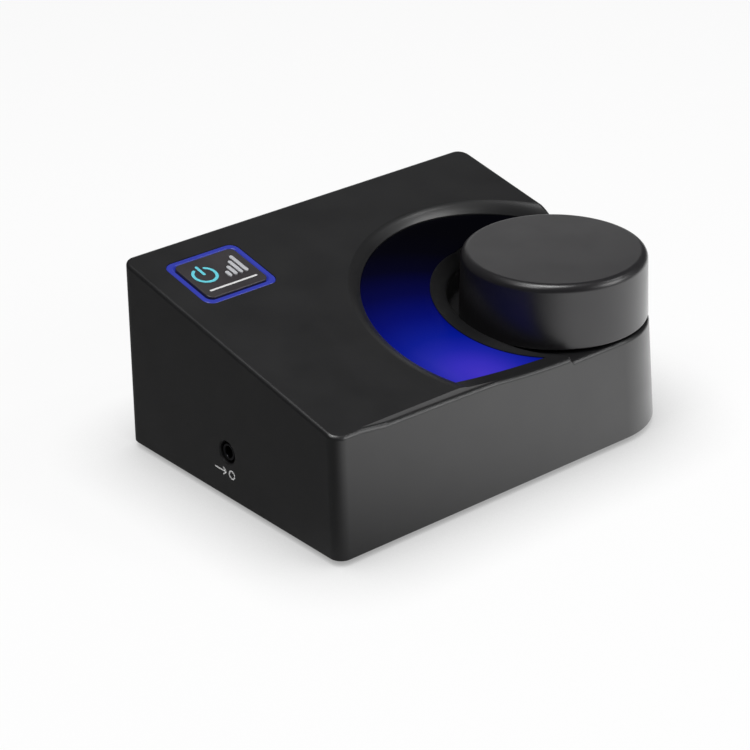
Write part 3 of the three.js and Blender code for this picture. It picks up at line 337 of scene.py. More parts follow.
def lit_acrylic():
    """Glossy near-black acrylic, whose glow runs down the stops with the distance from the brightest lamp."""
    material, tree, shader = surface("tinted_acrylic_over_lamps", "#010104", 0.2, ior=1.49)
    place = add_node(tree, "ShaderNodeTexCoord").outputs["Object"]
    lamp = (np.array(GLOW_PLACE) * MM).tolist()
    away = add_node(tree, "ShaderNodeVectorMath", {"operation": "DISTANCE"}, i0=place, i1=lamp)
    share = add_node(tree, "ShaderNodeMapRange", Value=away.outputs["Value"], From_Max=GLOW_REACH * MM)
    ramp = add_node(tree, "ShaderNodeValToRGB", Fac=share.outputs[0])
    while len(ramp.color_ramp.elements) < len(GLOW_STOPS):
        ramp.color_ramp.elements.new(0.5)
    for element, (where, tint) in zip(ramp.color_ramp.elements, GLOW_STOPS):
        element.position, element.color = where, colour(tint)
    tree.links.new(ramp.outputs["Color"], shader.inputs["Emission Color"])
    shader.inputs["Emission Strength"].default_value = 1.0
    shader.inputs["Specular IOR Level"].default_value = 0.08
    mottled(tree, shader, "Roughness", 0.16, 0.22, 20)
    return material


def light_guide():
    """Frosted acrylic lit from its edge, almost even, with the faint clouds of its frosting."""
    material, tree, shader = surface("frosted_light_guide", "#141a5a", 0.30, ior=1.49)
    mottled(tree, shader, "Emission Color", "#2a359c", "#3540ac", 7)
    shader.inputs["Emission Strength"].default_value = 0.75
    grained(tree, shader, 0.5, 0.004)
    return material


window_acrylic = lit_acrylic()
frame_guide = light_guide()
print("glow is centred at, mm:", np.round(GLOW_PLACE, 1))

# %% [markdown]
# Metal parts are nickel-plated steel or turned brass. Turning leaves fine grooves round the axis, and plating
# has faint clouds. The boards are green solder mask over copper tracks that stand out a little. Feet are matt
# rubber, and printing on the plastic is a thin, slightly soft ink.

# %% Metals, boards, rubber and ink
TRACK_LENGTH, TRACK_RISE = 9, 0.03


def metal(name, tint, dull, smooth, rough):
    """Plated or turned metal with small clouds of tone and sheen and a fine tool mark."""
    material, tree, shader = surface(name, tint, rough, metallic=1.0)
    mottled(tree, shader, "Base Color", dull, tint, 3)
    mottled(tree, shader, "Roughness", smooth, rough, 2)
    grained(tree, shader, 0.25, 0.004)
    return material


def circuit_board():
    """Green solder mask, whose copper fields show through as a pattern of staggered bricks."""
    material, tree, shader = surface("green_solder_mask", "#14502f", 0.35, ior=1.55)
    place = add_node(tree, "ShaderNodeTexCoord")
    tracks = add_node(tree, "ShaderNodeTexBrick", {"offset": 0.37}, Vector=place.outputs["Object"],
                      Scale=1 / (TRACK_LENGTH * MM), Mortar_Size=0.03, Mortar=colour("#0f4026"),
                      Color1=colour("#1c6a3f"), Color2=colour("#175a36"))
    tree.links.new(tracks.outputs["Color"], shader.inputs["Base Color"])
    bump = add_node(tree, "ShaderNodeBump", Height=tracks.outputs["Fac"], Distance=TRACK_RISE * MM)
    tree.links.new(bump.outputs[0], shader.inputs["Normal"])
    return material


def grainy(name, tint, roughness, ior, grain, depth):
    """A plain material with one tone and a fine grain, for print, rubber and cast resin."""
    material, tree, shader = surface(name, tint, roughness, ior)
    grained(tree, shader, grain, depth)
    return material


nickel = metal("nickel_plated_steel", "#c6c5c2", "#b4b3b0", 0.20, 0.30)
brass = metal("turned_brass", "#cba758", "#b8924a", 0.25, 0.35)
board_green = circuit_board()
rubber = grainy("matt_black_rubber", "#101010", 0.85, 1.52, 0.5, 0.03)
epoxy = grainy("cast_epoxy_lamp", "#f0efe2", 0.25, 1.55, 0.8, 0.004)
white_ink = grainy("white_print", "#d9d9d9", 0.5, 1.5, 0.3, 0.006)
cyan_ink = grainy("cyan_print", "#63c9d8", 0.5, 1.5, 0.3, 0.006)
silver_paint, paint_tree, paint_shader = surface("silver_paint", "#c4c5ca", 0.35, metallic=0.2)
mottled(paint_tree, paint_shader, "Base Color", "#bdbec3", "#cfd0d4", 3)
grained(paint_tree, paint_shader, 0.3, 0.004)
black_nickel = metal("black_nickel_plated_steel", "#3b3b3e", "#2f2f32", 0.28, 0.38)
print("materials:", len(bpy.data.materials))

# %% [markdown]
# The housing is a rounded rectangle whose four sides lean in by different amounts, closed by a sloping roof.
# Its outline is sampled every few tenths of a millimetre, so that the rolled top edge can follow every dip
# where the scoop and the well break out through the front and the right.

# %% The outline as a formula
OUTLINE_STEP = 0.4


def outline_rule():
    """Six numbers for each outline point: its x and y at the widest height, how far it moves for each
    millimetre of rise, and for each millimetre of inset. Straight stretches blend their two ends' numbers."""
    arcs = []
    corners = [(1, 1, SMALL_CORNER), (-1, 1, SMALL_CORNER), (-1, -1, SMALL_CORNER), (1, -1, KNOB_CORNER)]
    for quarter, (side, end, radius) in enumerate(corners):
        steps = math.ceil(radius * math.pi / 2 / OUTLINE_STEP)
        angle = (quarter + np.linspace(0, 1, steps + 1)) * math.pi / 2
        cos, sin = np.cos(angle), np.sin(angle)
        x = side * (HALF_WIDTH - radius) + radius * cos
        y = MIDDLE_Y + end * (HALF_DEPTH - radius) + radius * sin
        lean_x = np.full_like(x, -side * (RIGHT_LEAN if side > 0 else LEFT_LEAN))
        lean_y = np.full_like(x, -end * (BACK_LEAN if end > 0 else FRONT_LEAN))
        arcs.append(np.stack([x, y, lean_x, lean_y, -cos, -sin], -1))
    stretches = []
    for arc, following in zip(arcs, arcs[1:] + arcs[:1]):
        count = math.ceil(np.hypot(*(following[0, :2] - arc[-1, :2])) / OUTLINE_STEP)
        share = np.arange(1, count)[:, None] / count
        stretches += [arc, (1 - share) * arc[-1] + share * following[0]]
    return np.concatenate(stretches)


RULE = outline_rule()


def level_ring(height, inset):
    """The outline at a height, drawn in by inset, as rows of x, y and z."""
    height = np.broadcast_to(height, len(RULE))
    place = RULE[:, :2] + RULE[:, 2:4] * (height - WIDEST_Z)[:, None] + RULE[:, 4:] * inset
    return np.column_stack([place, height])


def top_ring(surface_height, inset, drop):
    """The outline drawn in by inset and lying drop below a surface. The height is the z that satisfies
    z = surface(outline at z) - drop, found by repeating that step, because the walls lean only a little."""
    height = np.full(len(RULE), FRONT_HEIGHT)
    for _ in range(6):
        ring = level_ring(height, inset)
        height = surface_height(ring[:, 0], ring[:, 1]) - drop
    ring[:, 2] = height
    return ring


print("outline points:", len(RULE))

# %% [markdown]
# The top is made of a few surfaces, each a height over x and y: the roof, the bowl, the soft wall between
# them, the floor of the well and the band that slants from the well's edge. The lowest is what one sees. The
# band and the well are measured along rays from the knob's axis, so their formulas use a ray's cosine and
# sine.

# %% The top surface as formulas
WELL_EDGE, WELL_MARGIN, HAIR = 0.5, 0.6, 0.02


def roof_height(x, y):
    """A plane: z = front height + slope (y - front y). Adding 0 x gives the answer the shape of x."""
    return FRONT_HEIGHT + (y - ROOF_FRONT_Y) * ROOF_SLOPE + 0 * x


def bowl_height(x, y):
    """The scoop's floor, a shallow bowl that tilts: z = z0 + slope x + slope y + bend x squared
    + bend y squared, with x and y counted from the knob."""
    x, y = x - KNOB[0], y - KNOB[1]
    return BOWL_Z + BOWL_SLOPE[0] * x + BOWL_SLOPE[1] * y + BOWL_BEND[0] * x ** 2 + BOWL_BEND[1] * y ** 2


def scoop_height(x, y):
    """Bowl inside the scoop, roof outside, and between them a wall whose top is round. The wall's foot is a
    circle of radius R, its rim a circle wider by w and shifted by k in y. A place lies the share s of the way
    out when x squared + (y - k s) squared = (R + w s) squared. There z = (1 - b) bowl + b roof + rise s, with
    b = s (2 - s)."""
    across, along = x - SCOOP[0], y - SCOOP[1]
    square = SCOOP_WALL ** 2 - RIM_SHIFT ** 2
    half = SCOOP_RADIUS * SCOOP_WALL + RIM_SHIFT * along
    beyond = np.maximum(across ** 2 + along ** 2 - SCOOP_RADIUS ** 2, 0)
    share = np.minimum((np.sqrt(half ** 2 + square * beyond) - half) / square, 1)
    blend = share * (2 - share)
    return (1 - blend) * bowl_height(x, y) + blend * roof_height(x, y) + SCOOP_RISE * share


def well_reach(cos, sin):
    """How far the well reaches from the knob's axis: its radius, or in the front the notch, whose left side
    lies at a fixed distance across and so is reached after that distance / cos."""
    notch = NOTCH_REACH / np.maximum(-cos, NOTCH_REACH / NOTCH_LIMIT)
    notch -= (NOTCH_LIMIT - WELL_RADIUS) * np.maximum(cos, 0)
    return np.where(sin < 0, np.maximum(WELL_RADIUS, notch), WELL_RADIUS)


def band_reach(cos, sin):
    """How far the slanting band round the well reaches: to a ring, or to the window's inner circle where
    that lies further out. A ray meets a circle of radius R round c after
    c along + sqrt(c along squared - c squared + R squared)."""
    offset = WINDOW - KNOB
    along = offset[0] * cos + offset[1] * sin
    return np.maximum(WINDOW_RING, along + np.sqrt(along ** 2 - offset @ offset + WINDOW_RADIUS ** 2))


def top_height(x, y):
    """The lower of roof and scoop."""
    return np.minimum(roof_height(x, y), scoop_height(x, y))


def band_height(x, y):
    """The band is ruled: straight lines from the well's edge, a gently tilted plane, out to the top surface.
    Where that surface lies lower than the plane there is no band, and this height passes over it."""
    away = np.hypot(x - KNOB[0], y - KNOB[1])
    cos, sin = (x - KNOB[0]) / away, (y - KNOB[1]) / away
    inner, outer = well_reach(cos, sin), band_reach(cos, sin)
    outer = np.maximum(outer, inner + BAND_WIDTH)
    low = BOWL_Z + BAND_SLOPE * sin * inner
    high = np.maximum(top_height(KNOB[0] + outer * cos, KNOB[1] + outer * sin), low) + HAIR
    return low + (high - low) * (away - inner) / (outer - inner)


def open_top_height(x, y):
    """The lowest of roof, scoop and band, drawn down by a round edge of radius e next to the well: at
    distance a outside it, by e (1 - sqrt(1 - (1 - a / e) squared)). Deep in the well, its floor and the
    floor's round."""
    reach = np.hypot(x - KNOB[0], y - KNOB[1])
    away = reach - well_reach((x - KNOB[0]) / reach, (y - KNOB[1]) / reach)
    height = np.minimum(top_height(x, y), band_height(x, y))
    near = np.clip(1 - away / WELL_EDGE, 0, 1)
    height = height - WELL_EDGE * (1 - np.sqrt(1 - near ** 2))
    foot = np.clip(WELL_ROUND + away, 0, WELL_ROUND)
    floor = WELL_Z + WELL_ROUND - np.sqrt(WELL_ROUND ** 2 - foot ** 2)
    return np.where(away < -WELL_MARGIN, floor, height)


print("the roof is this high at the back, mm:", roof_height(0, BACK_Y).round(2))

# %% [markdown]
# The outer body is a loft: the foot of the wall, the wall, and a quarter round that ends just under the top
# surface. The scoop and the well are then cut out of it with bodies of their own. Where the scoop runs out
# through the wall, the quarter round already lies at the scoop's height, so the rim stays rolled all the way.

# %% Bodies of the housing
RIM_STEP, RAYS = 0.012, 360


def outer_body():
    """Quarter rounds at the foot and the rim: at angle t the inset is radius (1 - cos t) and the drop is
    radius (1 - sin t). The ring between them ends the wall's long faces below the rim's dips, so that they
    keep an even shade. Inside the rim a hair's step leads up to the roof, to be cut away by the scoop."""
    foot = WIDEST_Z - FOOT_GAP
    rings = [level_ring(WIDEST_Z - foot * math.sin(t), foot * (1 - math.cos(t)))
             for t in np.radians(np.linspace(0, 90, 5))[::-1]]
    rings.append(level_ring(WELL_Z - 2 * TOP_EDGE, 0))
    for t in np.radians(np.linspace(0, 90, 11)):
        rings.append(top_ring(open_top_height, TOP_EDGE * (1 - math.cos(t)), TOP_EDGE * (1 - math.sin(t))))
    last = rings[-1]
    roof = roof_height(last[:, 0], last[:, 1])
    last[:, 2] -= np.minimum(roof - last[:, 2], RIM_STEP)
    rings.append(np.column_stack([last[:, :2], roof]))
    return skin(np.stack(rings))


def scoop_body(drop=0.0, growth=0.0):
    """All that lies above the scoop's surface, lowered by drop and widened by growth: circles out over the
    bowl, then up the wall, each shifted in y by the share of the wall that it has climbed."""
    angle = np.linspace(0, 2 * np.pi, RAYS, endpoint=False)
    floor, share = np.linspace(0.02, 1, 14)[:-1, None], np.linspace(0, 1, 17)[:, None]
    radius = np.concatenate([floor * SCOOP_RADIUS, SCOOP_RADIUS + SCOOP_WALL * share])
    middle_y = SCOOP[1] + np.concatenate([0 * floor, RIM_SHIFT * share])
    z = scoop_height(SCOOP[0] + radius * np.cos(angle), middle_y + radius * np.sin(angle)) - drop
    wide = radius + growth
    rings = np.stack([SCOOP[0] + wide * np.cos(angle), middle_y + wide * np.sin(angle), z], -1)
    lid = rings[-1].copy()
    lid[:, 2] = OPEN_TOP
    return skin(np.concatenate([rings, lid[None]]))


def well_body(growth=0.0):
    """The well with its notch: the floor meets the wall in a small round, and the mouth is rolled outwards:
    at angle t it reaches edge (1 - cos t) further and lies edge (1 - sin t) lower. From there the band's rows
    lead out to the top surface."""
    angle = np.linspace(0, 2 * np.pi, RAYS, endpoint=False)
    cos, sin = np.cos(angle), np.sin(angle)
    inner, low = well_reach(cos, sin) + growth, WELL_Z - growth
    outer = np.maximum(band_reach(cos, sin), inner + BAND_WIDTH)
    rows = []

    def at(reach):
        """The x and y that lie reach away from the knob's axis, along every ray."""
        return KNOB[0] + reach * cos, KNOB[1] + reach * sin

    def add_row(reach, height):
        """One row of points, reach away from the knob's axis and at the given height."""
        rows.append(np.stack([*at(reach), np.broadcast_to(height, cos.shape)], -1))

    add_row(inner / 3, low)
    for inset, height in rounded((-WELL_ROUND, WELL_ROUND), WELL_ROUND, -90, 0, 7):
        add_row(inner + inset, low + height)
    for t in np.radians(np.linspace(0, 90, 7)):
        reach = inner + WELL_EDGE * (1 - math.cos(t))
        mouth = np.minimum(top_height(*at(reach)), band_height(*at(reach))) - WELL_EDGE * (1 - math.sin(t))
        add_row(reach, np.maximum(mouth, low + WELL_ROUND + HAIR))
    for share in (0.25, 0.5, 0.75, 1.0):
        reach = inner + WELL_EDGE + share * (outer - inner - WELL_EDGE)
        band, top = band_height(*at(reach)), top_height(*at(reach))
        add_row(reach, np.where(band < top, band, top + HAIR * min(share * 2, 1)))
    add_row(outer, OPEN_TOP)
    return skin(np.stack(rows))


def crescent_edges(growth, count=121):
    """The crescent's inner and outer edge, from its front to its right end, widened all round by growth.
    The outer edge is an arc of the scoop. The inner edge is an arc round the window's centre, or further back
    an arc round the well, whichever reaches further from the knob."""
    front, right = WINDOW_FRONT - growth, WINDOW_RIGHT + growth
    outer_radius = SCOOP_RADIUS - WINDOW_EDGE + growth
    start = math.pi + math.asin((SCOOP[1] - front) / outer_radius)
    end = math.acos((right - SCOOP[0]) / outer_radius)
    angle = np.linspace(start, end, count)
    outer = SCOOP + outer_radius * np.column_stack([np.cos(angle), np.sin(angle)])
    inner_radius, ring_radius = WINDOW_RADIUS - growth, WINDOW_RING - growth
    start = math.pi + math.asin((WINDOW[1] - front) / inner_radius)
    end = math.acos((right - KNOB[0]) / ring_radius)
    tip = KNOB + ring_radius * np.array([math.cos(end), math.sin(end)]) - WINDOW
    angle = np.linspace(start, math.atan2(tip[1], tip[0]), count)
    ray = np.column_stack([np.cos(angle), np.sin(angle)])
    along, gap = ray @ (KNOB - WINDOW), np.sum((KNOB - WINDOW) ** 2)
    ring_reach = along + np.sqrt(along ** 2 - gap + ring_radius ** 2)
    return WINDOW + np.maximum(inner_radius, ring_reach)[:, None] * ray, outer


inner_edge, outer_edge = crescent_edges(0)
print("crescent runs from", outer_edge[0].round(1), "to", outer_edge[-1].round(1))

# %% [markdown]
# The shell is the outer body less the scoop, the well, a hollow that follows the outside at an even wall, and
# the openings for the window, the tile and the sockets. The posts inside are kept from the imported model.

# %% Openings
def rounded_rows(width, depth, rows, steps=9):
    """Rounded rectangles above each other, one for each row of (inset, corner radius, height)."""
    angle = np.concatenate([np.linspace(0, np.pi / 2, steps) + quarter * np.pi / 2 for quarter in range(4)])
    side, end = np.repeat([1, -1, -1, 1], steps), np.repeat([1, 1, -1, -1], steps)
    inset, corner, height = (np.array(column, float)[:, None] for column in zip(*rows))
    x = side * (width / 2 - inset - corner) + corner * np.cos(angle)
    y = end * (depth / 2 - inset - corner) + corner * np.sin(angle)
    return np.stack([x, y, np.broadcast_to(height, x.shape)], -1)


def tilted(shape, place):
    """A shape leaned back by the roof's slope and moved: y = y cos - z sin and z = y sin + z cos."""
    points, faces = shape
    slope = math.atan(ROOF_SLOPE)
    cos, sin = math.cos(slope), math.sin(slope)
    lean = np.array([[1, 0, 0], [0, cos, -sin], [0, sin, cos]])
    return points @ lean.T + place, faces


def crescent_body(growth, low, high):
    """The crescent as an upright block between two heights."""
    inner, outer = crescent_edges(growth)
    return plate(np.concatenate([outer, inner[::-1]])[::-1], low, high)


def hole(radius, depth, chamfer=0.35, reach=2.0, steps=96):
    """A bore whose mouth at height zero is broken by a small chamfer."""
    wide = radius + chamfer + reach
    return turned([(radius, -depth), (radius, -chamfer), (wide, reach)], steps)


# The lit frame's outline, and where the frame and the sockets' mouths lie.
BADGE_WIDTH, BADGE_DEPTH, BADGE_CORNER, SLIP = 26.2, 23.1, 3.0, 0.15
BADGE = np.array([np.mean([corner[0] for corner in box_of("badge_frame")]), BACK_Y - 20.4, 0.0])
BADGE[2] = roof_height(*BADGE[:2])
AUX = np.array([shell_low[0] + 0.12, -3.8, 16.7])
OUTPUTS = [np.array([x, BACK_Y, 19.45]) for x in (-39.9, -16.1)]
INPUTS = [np.array([x, BACK_Y, 18.55]) for x in (9.97, 24.47)]
POWER = np.array([48.02, BACK_Y, 17.05])
AUX_BORE, POWER_BORE, OUTPUT_BORE, INPUT_BORE, SHAFT_BORE, HOLE_DEPTH = 3.5, 4.35, 5.75, 4.3, 3.65, 5

badge_hole = rounded_rows(BADGE_WIDTH, BADGE_DEPTH, [(-SLIP, BADGE_CORNER + SLIP, z) for z in (-4, 3)])
openings = [
    scoop_body(), well_body(), crescent_body(SLIP, WELL_Z, OPEN_TOP), tilted(skin(badge_hole), BADGE),
    laid_along("-X", hole(AUX_BORE, HOLE_DEPTH), AUX), laid_along("+Y", hole(POWER_BORE, HOLE_DEPTH), POWER),
    *(laid_along("+Y", hole(OUTPUT_BORE, HOLE_DEPTH), place) for place in OUTPUTS),
    *(laid_along("+Y", hole(INPUT_BORE, HOLE_DEPTH), place) for place in INPUTS),
    turned([(SHAFT_BORE, WELL_Z - WALL - 1), (SHAFT_BORE, WELL_Z + 1)], 48, KNOB)]
print("openings:", len(openings))

# %% Upper shell
shell = mesh_object("moulded_shell", outer_body())
hollow_rings = [level_ring(FOOT_GAP - 1, WALL), top_ring(roof_height, WALL, WALL)]
hollow = mesh_object("hollow", skin(np.stack(hollow_rings)))
carved(hollow, [scoop_body(WALL, WALL), well_body(WALL)])
carved(shell, [shape_of(hollow), *openings])
bpy.data.objects.remove(hollow)
tidied(shell)
dressed(shell, shell_abs, "housing", ["upper_shell"], crease=35)

# %% [markdown]
# The window lies in its opening a little below the bowl, and its top follows the bowl. It is a row of
# cross-sections along the crescent: across each, the top from the outer to the inner edge, then the
# underside.

# %% Crescent window
def window_shape(recess=0.12, thickness=2.8, edge=0.14, across=13):
    """Each section follows the bowl, recess below it. Near both edges the top drops by edge n squared, where
    n = 1 - 12 (1 - |2 v - 1|) and v is the share of the way from the inner to the outer edge."""
    share = np.linspace(1, 0, across)[:, None]
    near = np.clip(1 - (1 - np.abs(2 * share - 1)) * 12, 0, 1)
    plan = (1 - share) * inner_edge[:, None] + share * outer_edge[:, None]
    height = bowl_height(plan[..., 0], plan[..., 1])
    top = np.dstack([plan, height - recess - edge * near[:, 0] ** 2])
    underside = np.dstack([plan, height - thickness])[:, ::-1]
    return skin(np.concatenate([top, underside], 1))


dressed(mesh_object("glowing_window", window_shape()), window_acrylic, "housing",
        ["light_window"], crease=40)

# %% [markdown]
# The knob is one turned profile: a flat top, a round edge, a side with a little draft, and inside a thin wall
# and a hub. Six ribs carry the hub.

# %% Knob
KNOB_DRAFT, KNOB_EDGE, KNOB_FOOT_EDGE = math.tan(math.radians(1.9)), 2.5, 0.5
KNOB_WALL, KNOB_ROOF, HUB_LIFT, HUB_RADIUS = 2.6, 3.0, 3.8, 8.0
INSERT_RADIUS, INSERT_DROP, POLE = 4.75, 6.25, 0.02
RIB_FROM, RIB_TO, RIB_HALF, RIB_DROP = 7, 25, 0.8, 10.5


def knob_profile():
    """Rows of (radius, height): from the insert's bore out and down the hub, along the inside of roof and
    wall, and up the outside. The side's radius falls by height times the draft."""
    low, high = knob_low[2], knob_high[2]

    def side(height):
        """The radius of the side at a height."""
        return KNOB_RADIUS - (height - low) * KNOB_DRAFT

    bore_top, hub_low, ceiling = high - INSERT_DROP, low + HUB_LIFT, high - KNOB_ROOF
    inner = side(ceiling) - KNOB_WALL
    inside = [(POLE, bore_top), (INSERT_RADIUS, bore_top), (INSERT_RADIUS, hub_low + 0.3),
              (INSERT_RADIUS + 0.3, hub_low), (HUB_RADIUS - 0.4, hub_low), (HUB_RADIUS, hub_low + 0.4),
              *rounded((HUB_RADIUS + 1, ceiling - 1), 1, 180, 90, 6),
              *rounded((inner - 1.5, ceiling - 1.5), 1.5, 90, 0, 6),
              (side(low) - KNOB_WALL, low + 0.2), (side(low) - KNOB_WALL + 0.2, low)]
    foot = rounded((side(low) - KNOB_FOOT_EDGE, low + KNOB_FOOT_EDGE), KNOB_FOOT_EDGE, -90, 0, 5)
    shoulder = high - KNOB_EDGE
    top = rounded((side(shoulder) - KNOB_EDGE, shoulder), KNOB_EDGE, 0, 90, 17)
    return [*inside, *foot, *top, (POLE, high)]


knob = mesh_object("turned_knob", turned(knob_profile(), 192, KNOB))
rib_plan = [(RIB_FROM, -RIB_HALF), (RIB_TO, -RIB_HALF), (RIB_TO, RIB_HALF), (RIB_FROM, RIB_HALF)]
ribs = []
for turn in np.arange(6) * math.pi / 3:
    along, across = np.array([[math.cos(turn), math.sin(turn), 0], [-math.sin(turn), math.cos(turn), 0]])
    rows = [[(*KNOB, z) + out * along + aside * across for out, aside in rib_plan]
            for z in (knob_high[2] - RIB_DROP, knob_high[2] - 2)]
    ribs.append(skin(np.array(rows)))
carved(knob, ribs, "UNION")
tidied(knob)
dressed(knob, knob_abs, "knob", ["knob_cap"], crease=32)

# %% [markdown]
# The frame round the tile and the tile itself are rounded rectangles with softened edges, leaned back to lie
# in the roof. The tile is a cap over its plunger, so it is hollow underneath and has a stem in the middle.

# %% Framed push tile
FRAME_LOW, FRAME_BAND, FRAME_INNER_CORNER, SOFT = -3.6, 1.6, 2.3, 0.28
FLANGE, FLANGE_THICK = 1.3, 1.1
flange_top = -(WALL * math.cos(math.atan(ROOF_SLOPE)) + 0.05)
flange_low = flange_top - FLANGE_THICK
frame_rows = [(-FLANGE, BADGE_CORNER + FLANGE, flange_low), (-FLANGE, BADGE_CORNER + FLANGE, flange_top),
              (0, BADGE_CORNER, flange_top)]
soft_edge = rounded((0, 0), SOFT, 0, 90, 6)
frame_rows += [(SOFT - out, BADGE_CORNER - SOFT + out, up - SOFT) for out, up in soft_edge]
frame_rows += [(FRAME_BAND - SOFT - out, FRAME_INNER_CORNER + SOFT + out, up - SOFT)
               for out, up in rounded((0, 0), SOFT, 90, 180, 6)]
frame_rows += [(FRAME_BAND, FRAME_INNER_CORNER, FRAME_LOW), (0, BADGE_CORNER, FRAME_LOW),
               (0, BADGE_CORNER, flange_low)]
frame_shape = skin(rounded_rows(BADGE_WIDTH, BADGE_DEPTH, frame_rows), closed=True)
dressed(mesh_object("light_guide_frame", tilted(frame_shape, BADGE)), frame_guide, "housing",
        ["badge_frame"], crease=40)

TILE_MARGIN, TILE_GAP, TILE_CORNER = 1.95, 0.05, 2.1
TILE_TOP, TILE_LOW, TILE_WALL, TILE_ROOF = 0.35, FRAME_LOW - 0.85, 1.2, 1.4
SKIRT, SKIRT_THICK, STEM_RADIUS = 1.1, 0.8, 2.2
TILE_WIDTH, TILE_DEPTH = (size - 2 * TILE_MARGIN - 2 * SLIP for size in (BADGE_WIDTH, BADGE_DEPTH))
tile_rows = [(TILE_WALL, TILE_CORNER - TILE_WALL, TILE_TOP - TILE_ROOF),
             (TILE_WALL, TILE_CORNER - TILE_WALL, TILE_LOW), (-SKIRT, TILE_CORNER, TILE_LOW),
             (-SKIRT, TILE_CORNER, TILE_LOW + SKIRT_THICK), (TILE_GAP, TILE_CORNER, TILE_LOW + SKIRT_THICK)]
tile_rows += [(TILE_GAP + SOFT - out, TILE_CORNER - SOFT + out, TILE_TOP + up - SOFT)
              for out, up in soft_edge]
tile = mesh_object("push_tile_cap", tilted(skin(rounded_rows(TILE_WIDTH, TILE_DEPTH, tile_rows)), BADGE))
stem = turned([(STEM_RADIUS, TILE_LOW - 1.2), (STEM_RADIUS, TILE_TOP - 0.7)], 32)
carved(tile, [tilted(stem, BADGE)], "UNION")
dressed(tile, tile_abs, "push_tile", ["badge_tile"], crease=40)

# %% [markdown]
# The signs are plain ones. On the tile are a standby sign, rising level marks and a line under them, in cyan,
# silver and white. Beside the side input an arrow points into a socket. A sign could be a picture laid over
# the surface, but a thin plate keeps a sharp edge at any size. Each stands a few hundredths of a millimetre
# proud and is made of strokes with round ends. The silver marks are a thicker paint that stands out a little.

# %% Signs
def stroke(path, width, steps=9):
    """The outline of a line of even width with round ends, anticlockwise: the right side, the far end's half
    circle, the left side and the near end's half circle. The side is the tangent turned by a quarter turn."""
    path = np.asarray(path, float)
    tangent = np.gradient(path, axis=0)
    tangent /= np.hypot(*tangent.T)[:, None]
    side = np.stack([-tangent[:, 1], tangent[:, 0]], -1) * width / 2
    angle = np.linspace(0, np.pi, steps)[1:-1, None]
    far = path[-1] - side[-1] * np.cos(angle) + tangent[-1] * width / 2 * np.sin(angle)
    near = path[0] + side[0] * np.cos(angle) - tangent[0] * width / 2 * np.sin(angle)
    return np.concatenate([path - side, far, (path + side)[::-1], near])


def printed(name, loops, put, material, body, low, high):
    """One thin plate for all loops, put in place by the function put."""
    sign = mesh_object(name, put(plate(loops[0], low, high)))
    if loops[1:]:
        carved(sign, [put(plate(loop, low, high)) for loop in loops[1:]], "UNION")
    return dressed(sign, material, body, crease=30)


def on_tile(shape):
    """Lays a sign on the tile, leaned back with the roof."""
    return tilted(shape, BADGE)


def on_left_face(shape):
    """Turns a sign so that it reads from the left: across becomes -Y and up becomes +Z."""
    points, faces = shape
    return laid_along("-X", (np.column_stack([points[:, 1], -points[:, 0], points[:, 2]]), faces), AUX_SIGN)


SIGN_LOW, SIGN_HIGH, PAINT_HIGH = TILE_TOP - 0.05, TILE_TOP + 0.05, TILE_TOP + 0.35
STANDBY, STANDBY_RADIUS, STANDBY_WIDTH, STANDBY_OPENING = (-5.0, 1.3), 3.6, 0.95, (122, 418)
MARKS, MARK_FOOT, MARK_WIDTH = ((1.4, 1.6), (3.4, 3.6), (5.4, 5.6), (7.4, 7.6)), -2.6, 1.25
LINE_REACH, LINE_DROP, LINE_WIDTH = 8.4, -6.2, 0.7
standby = [stroke(arc_points(STANDBY, STANDBY_RADIUS, *STANDBY_OPENING, 61), STANDBY_WIDTH),
           stroke([(STANDBY[0], STANDBY[1] + up) for up in (0.4, 2.4, 4.4)], STANDBY_WIDTH)]
levels = [stroke([(x, MARK_FOOT + rise * share) for share in (0, 0.5, 1)], MARK_WIDTH) for x, rise in MARKS]
line = [stroke([(x, LINE_DROP) for x in (-LINE_REACH, 0, LINE_REACH)], LINE_WIDTH)]
printed("standby_sign", standby, on_tile, cyan_ink, "push_tile", SIGN_LOW, SIGN_HIGH)
printed("level_marks", levels, on_tile, silver_paint, "push_tile", SIGN_LOW, PAINT_HIGH)
printed("level_line", line, on_tile, white_ink, "push_tile", SIGN_LOW, SIGN_HIGH)

AUX_SIGN_Z, AUX_SIGN_WIDTH, AUX_SIGN_LOW, AUX_SIGN_HIGH = 10.1, 0.45, -0.05, 0.03
AUX_SIGN = np.array([shell_low[0] + (AUX_SIGN_Z - WIDEST_Z) * LEFT_LEAN, -2.7, AUX_SIGN_Z])
arrow_paths = ([(-4.8, 0), (-2.4, 0), (0.4, 0)], [(-0.8, 1.1), (-0.2, 0.55), (0.4, 0)],
               [(-0.8, -1.1), (-0.2, -0.55), (0.4, 0)])
arrow = [stroke(path, AUX_SIGN_WIDTH) for path in arrow_paths]
socket_ring = [stroke(arc_points((3.2, 0), 1.25, 8, 352, 61), AUX_SIGN_WIDTH)]
for name, loops in (("input_arrow", arrow), ("input_socket_ring", socket_ring)):
    printed(name, loops, on_left_face, white_ink, "housing", AUX_SIGN_LOW, AUX_SIGN_HIGH)

# %% [markdown]
# The rear sockets are turned metal and plastic parts. A nut is a hexagon whose corners are cut back by a
# cone, and a thread is a screw line: the radius falls and rises once for each pitch, shifted by the angle.
# Both are turned shapes whose radius also changes with the angle.

# %% Shapes of sockets, nuts and threads
def turned_freely(radius, height, steps=96, closed=False):
    """Like turned, but the radius may also change with the angle: radius has a row for each height."""
    angle = np.linspace(0, 2 * np.pi, steps, endpoint=False)
    radius = np.broadcast_to(radius, (len(height), steps))
    levels = np.broadcast_to(np.array(height, float)[:, None], radius.shape)
    return skin(np.stack([radius * np.cos(angle), radius * np.sin(angle), levels], -1), closed)


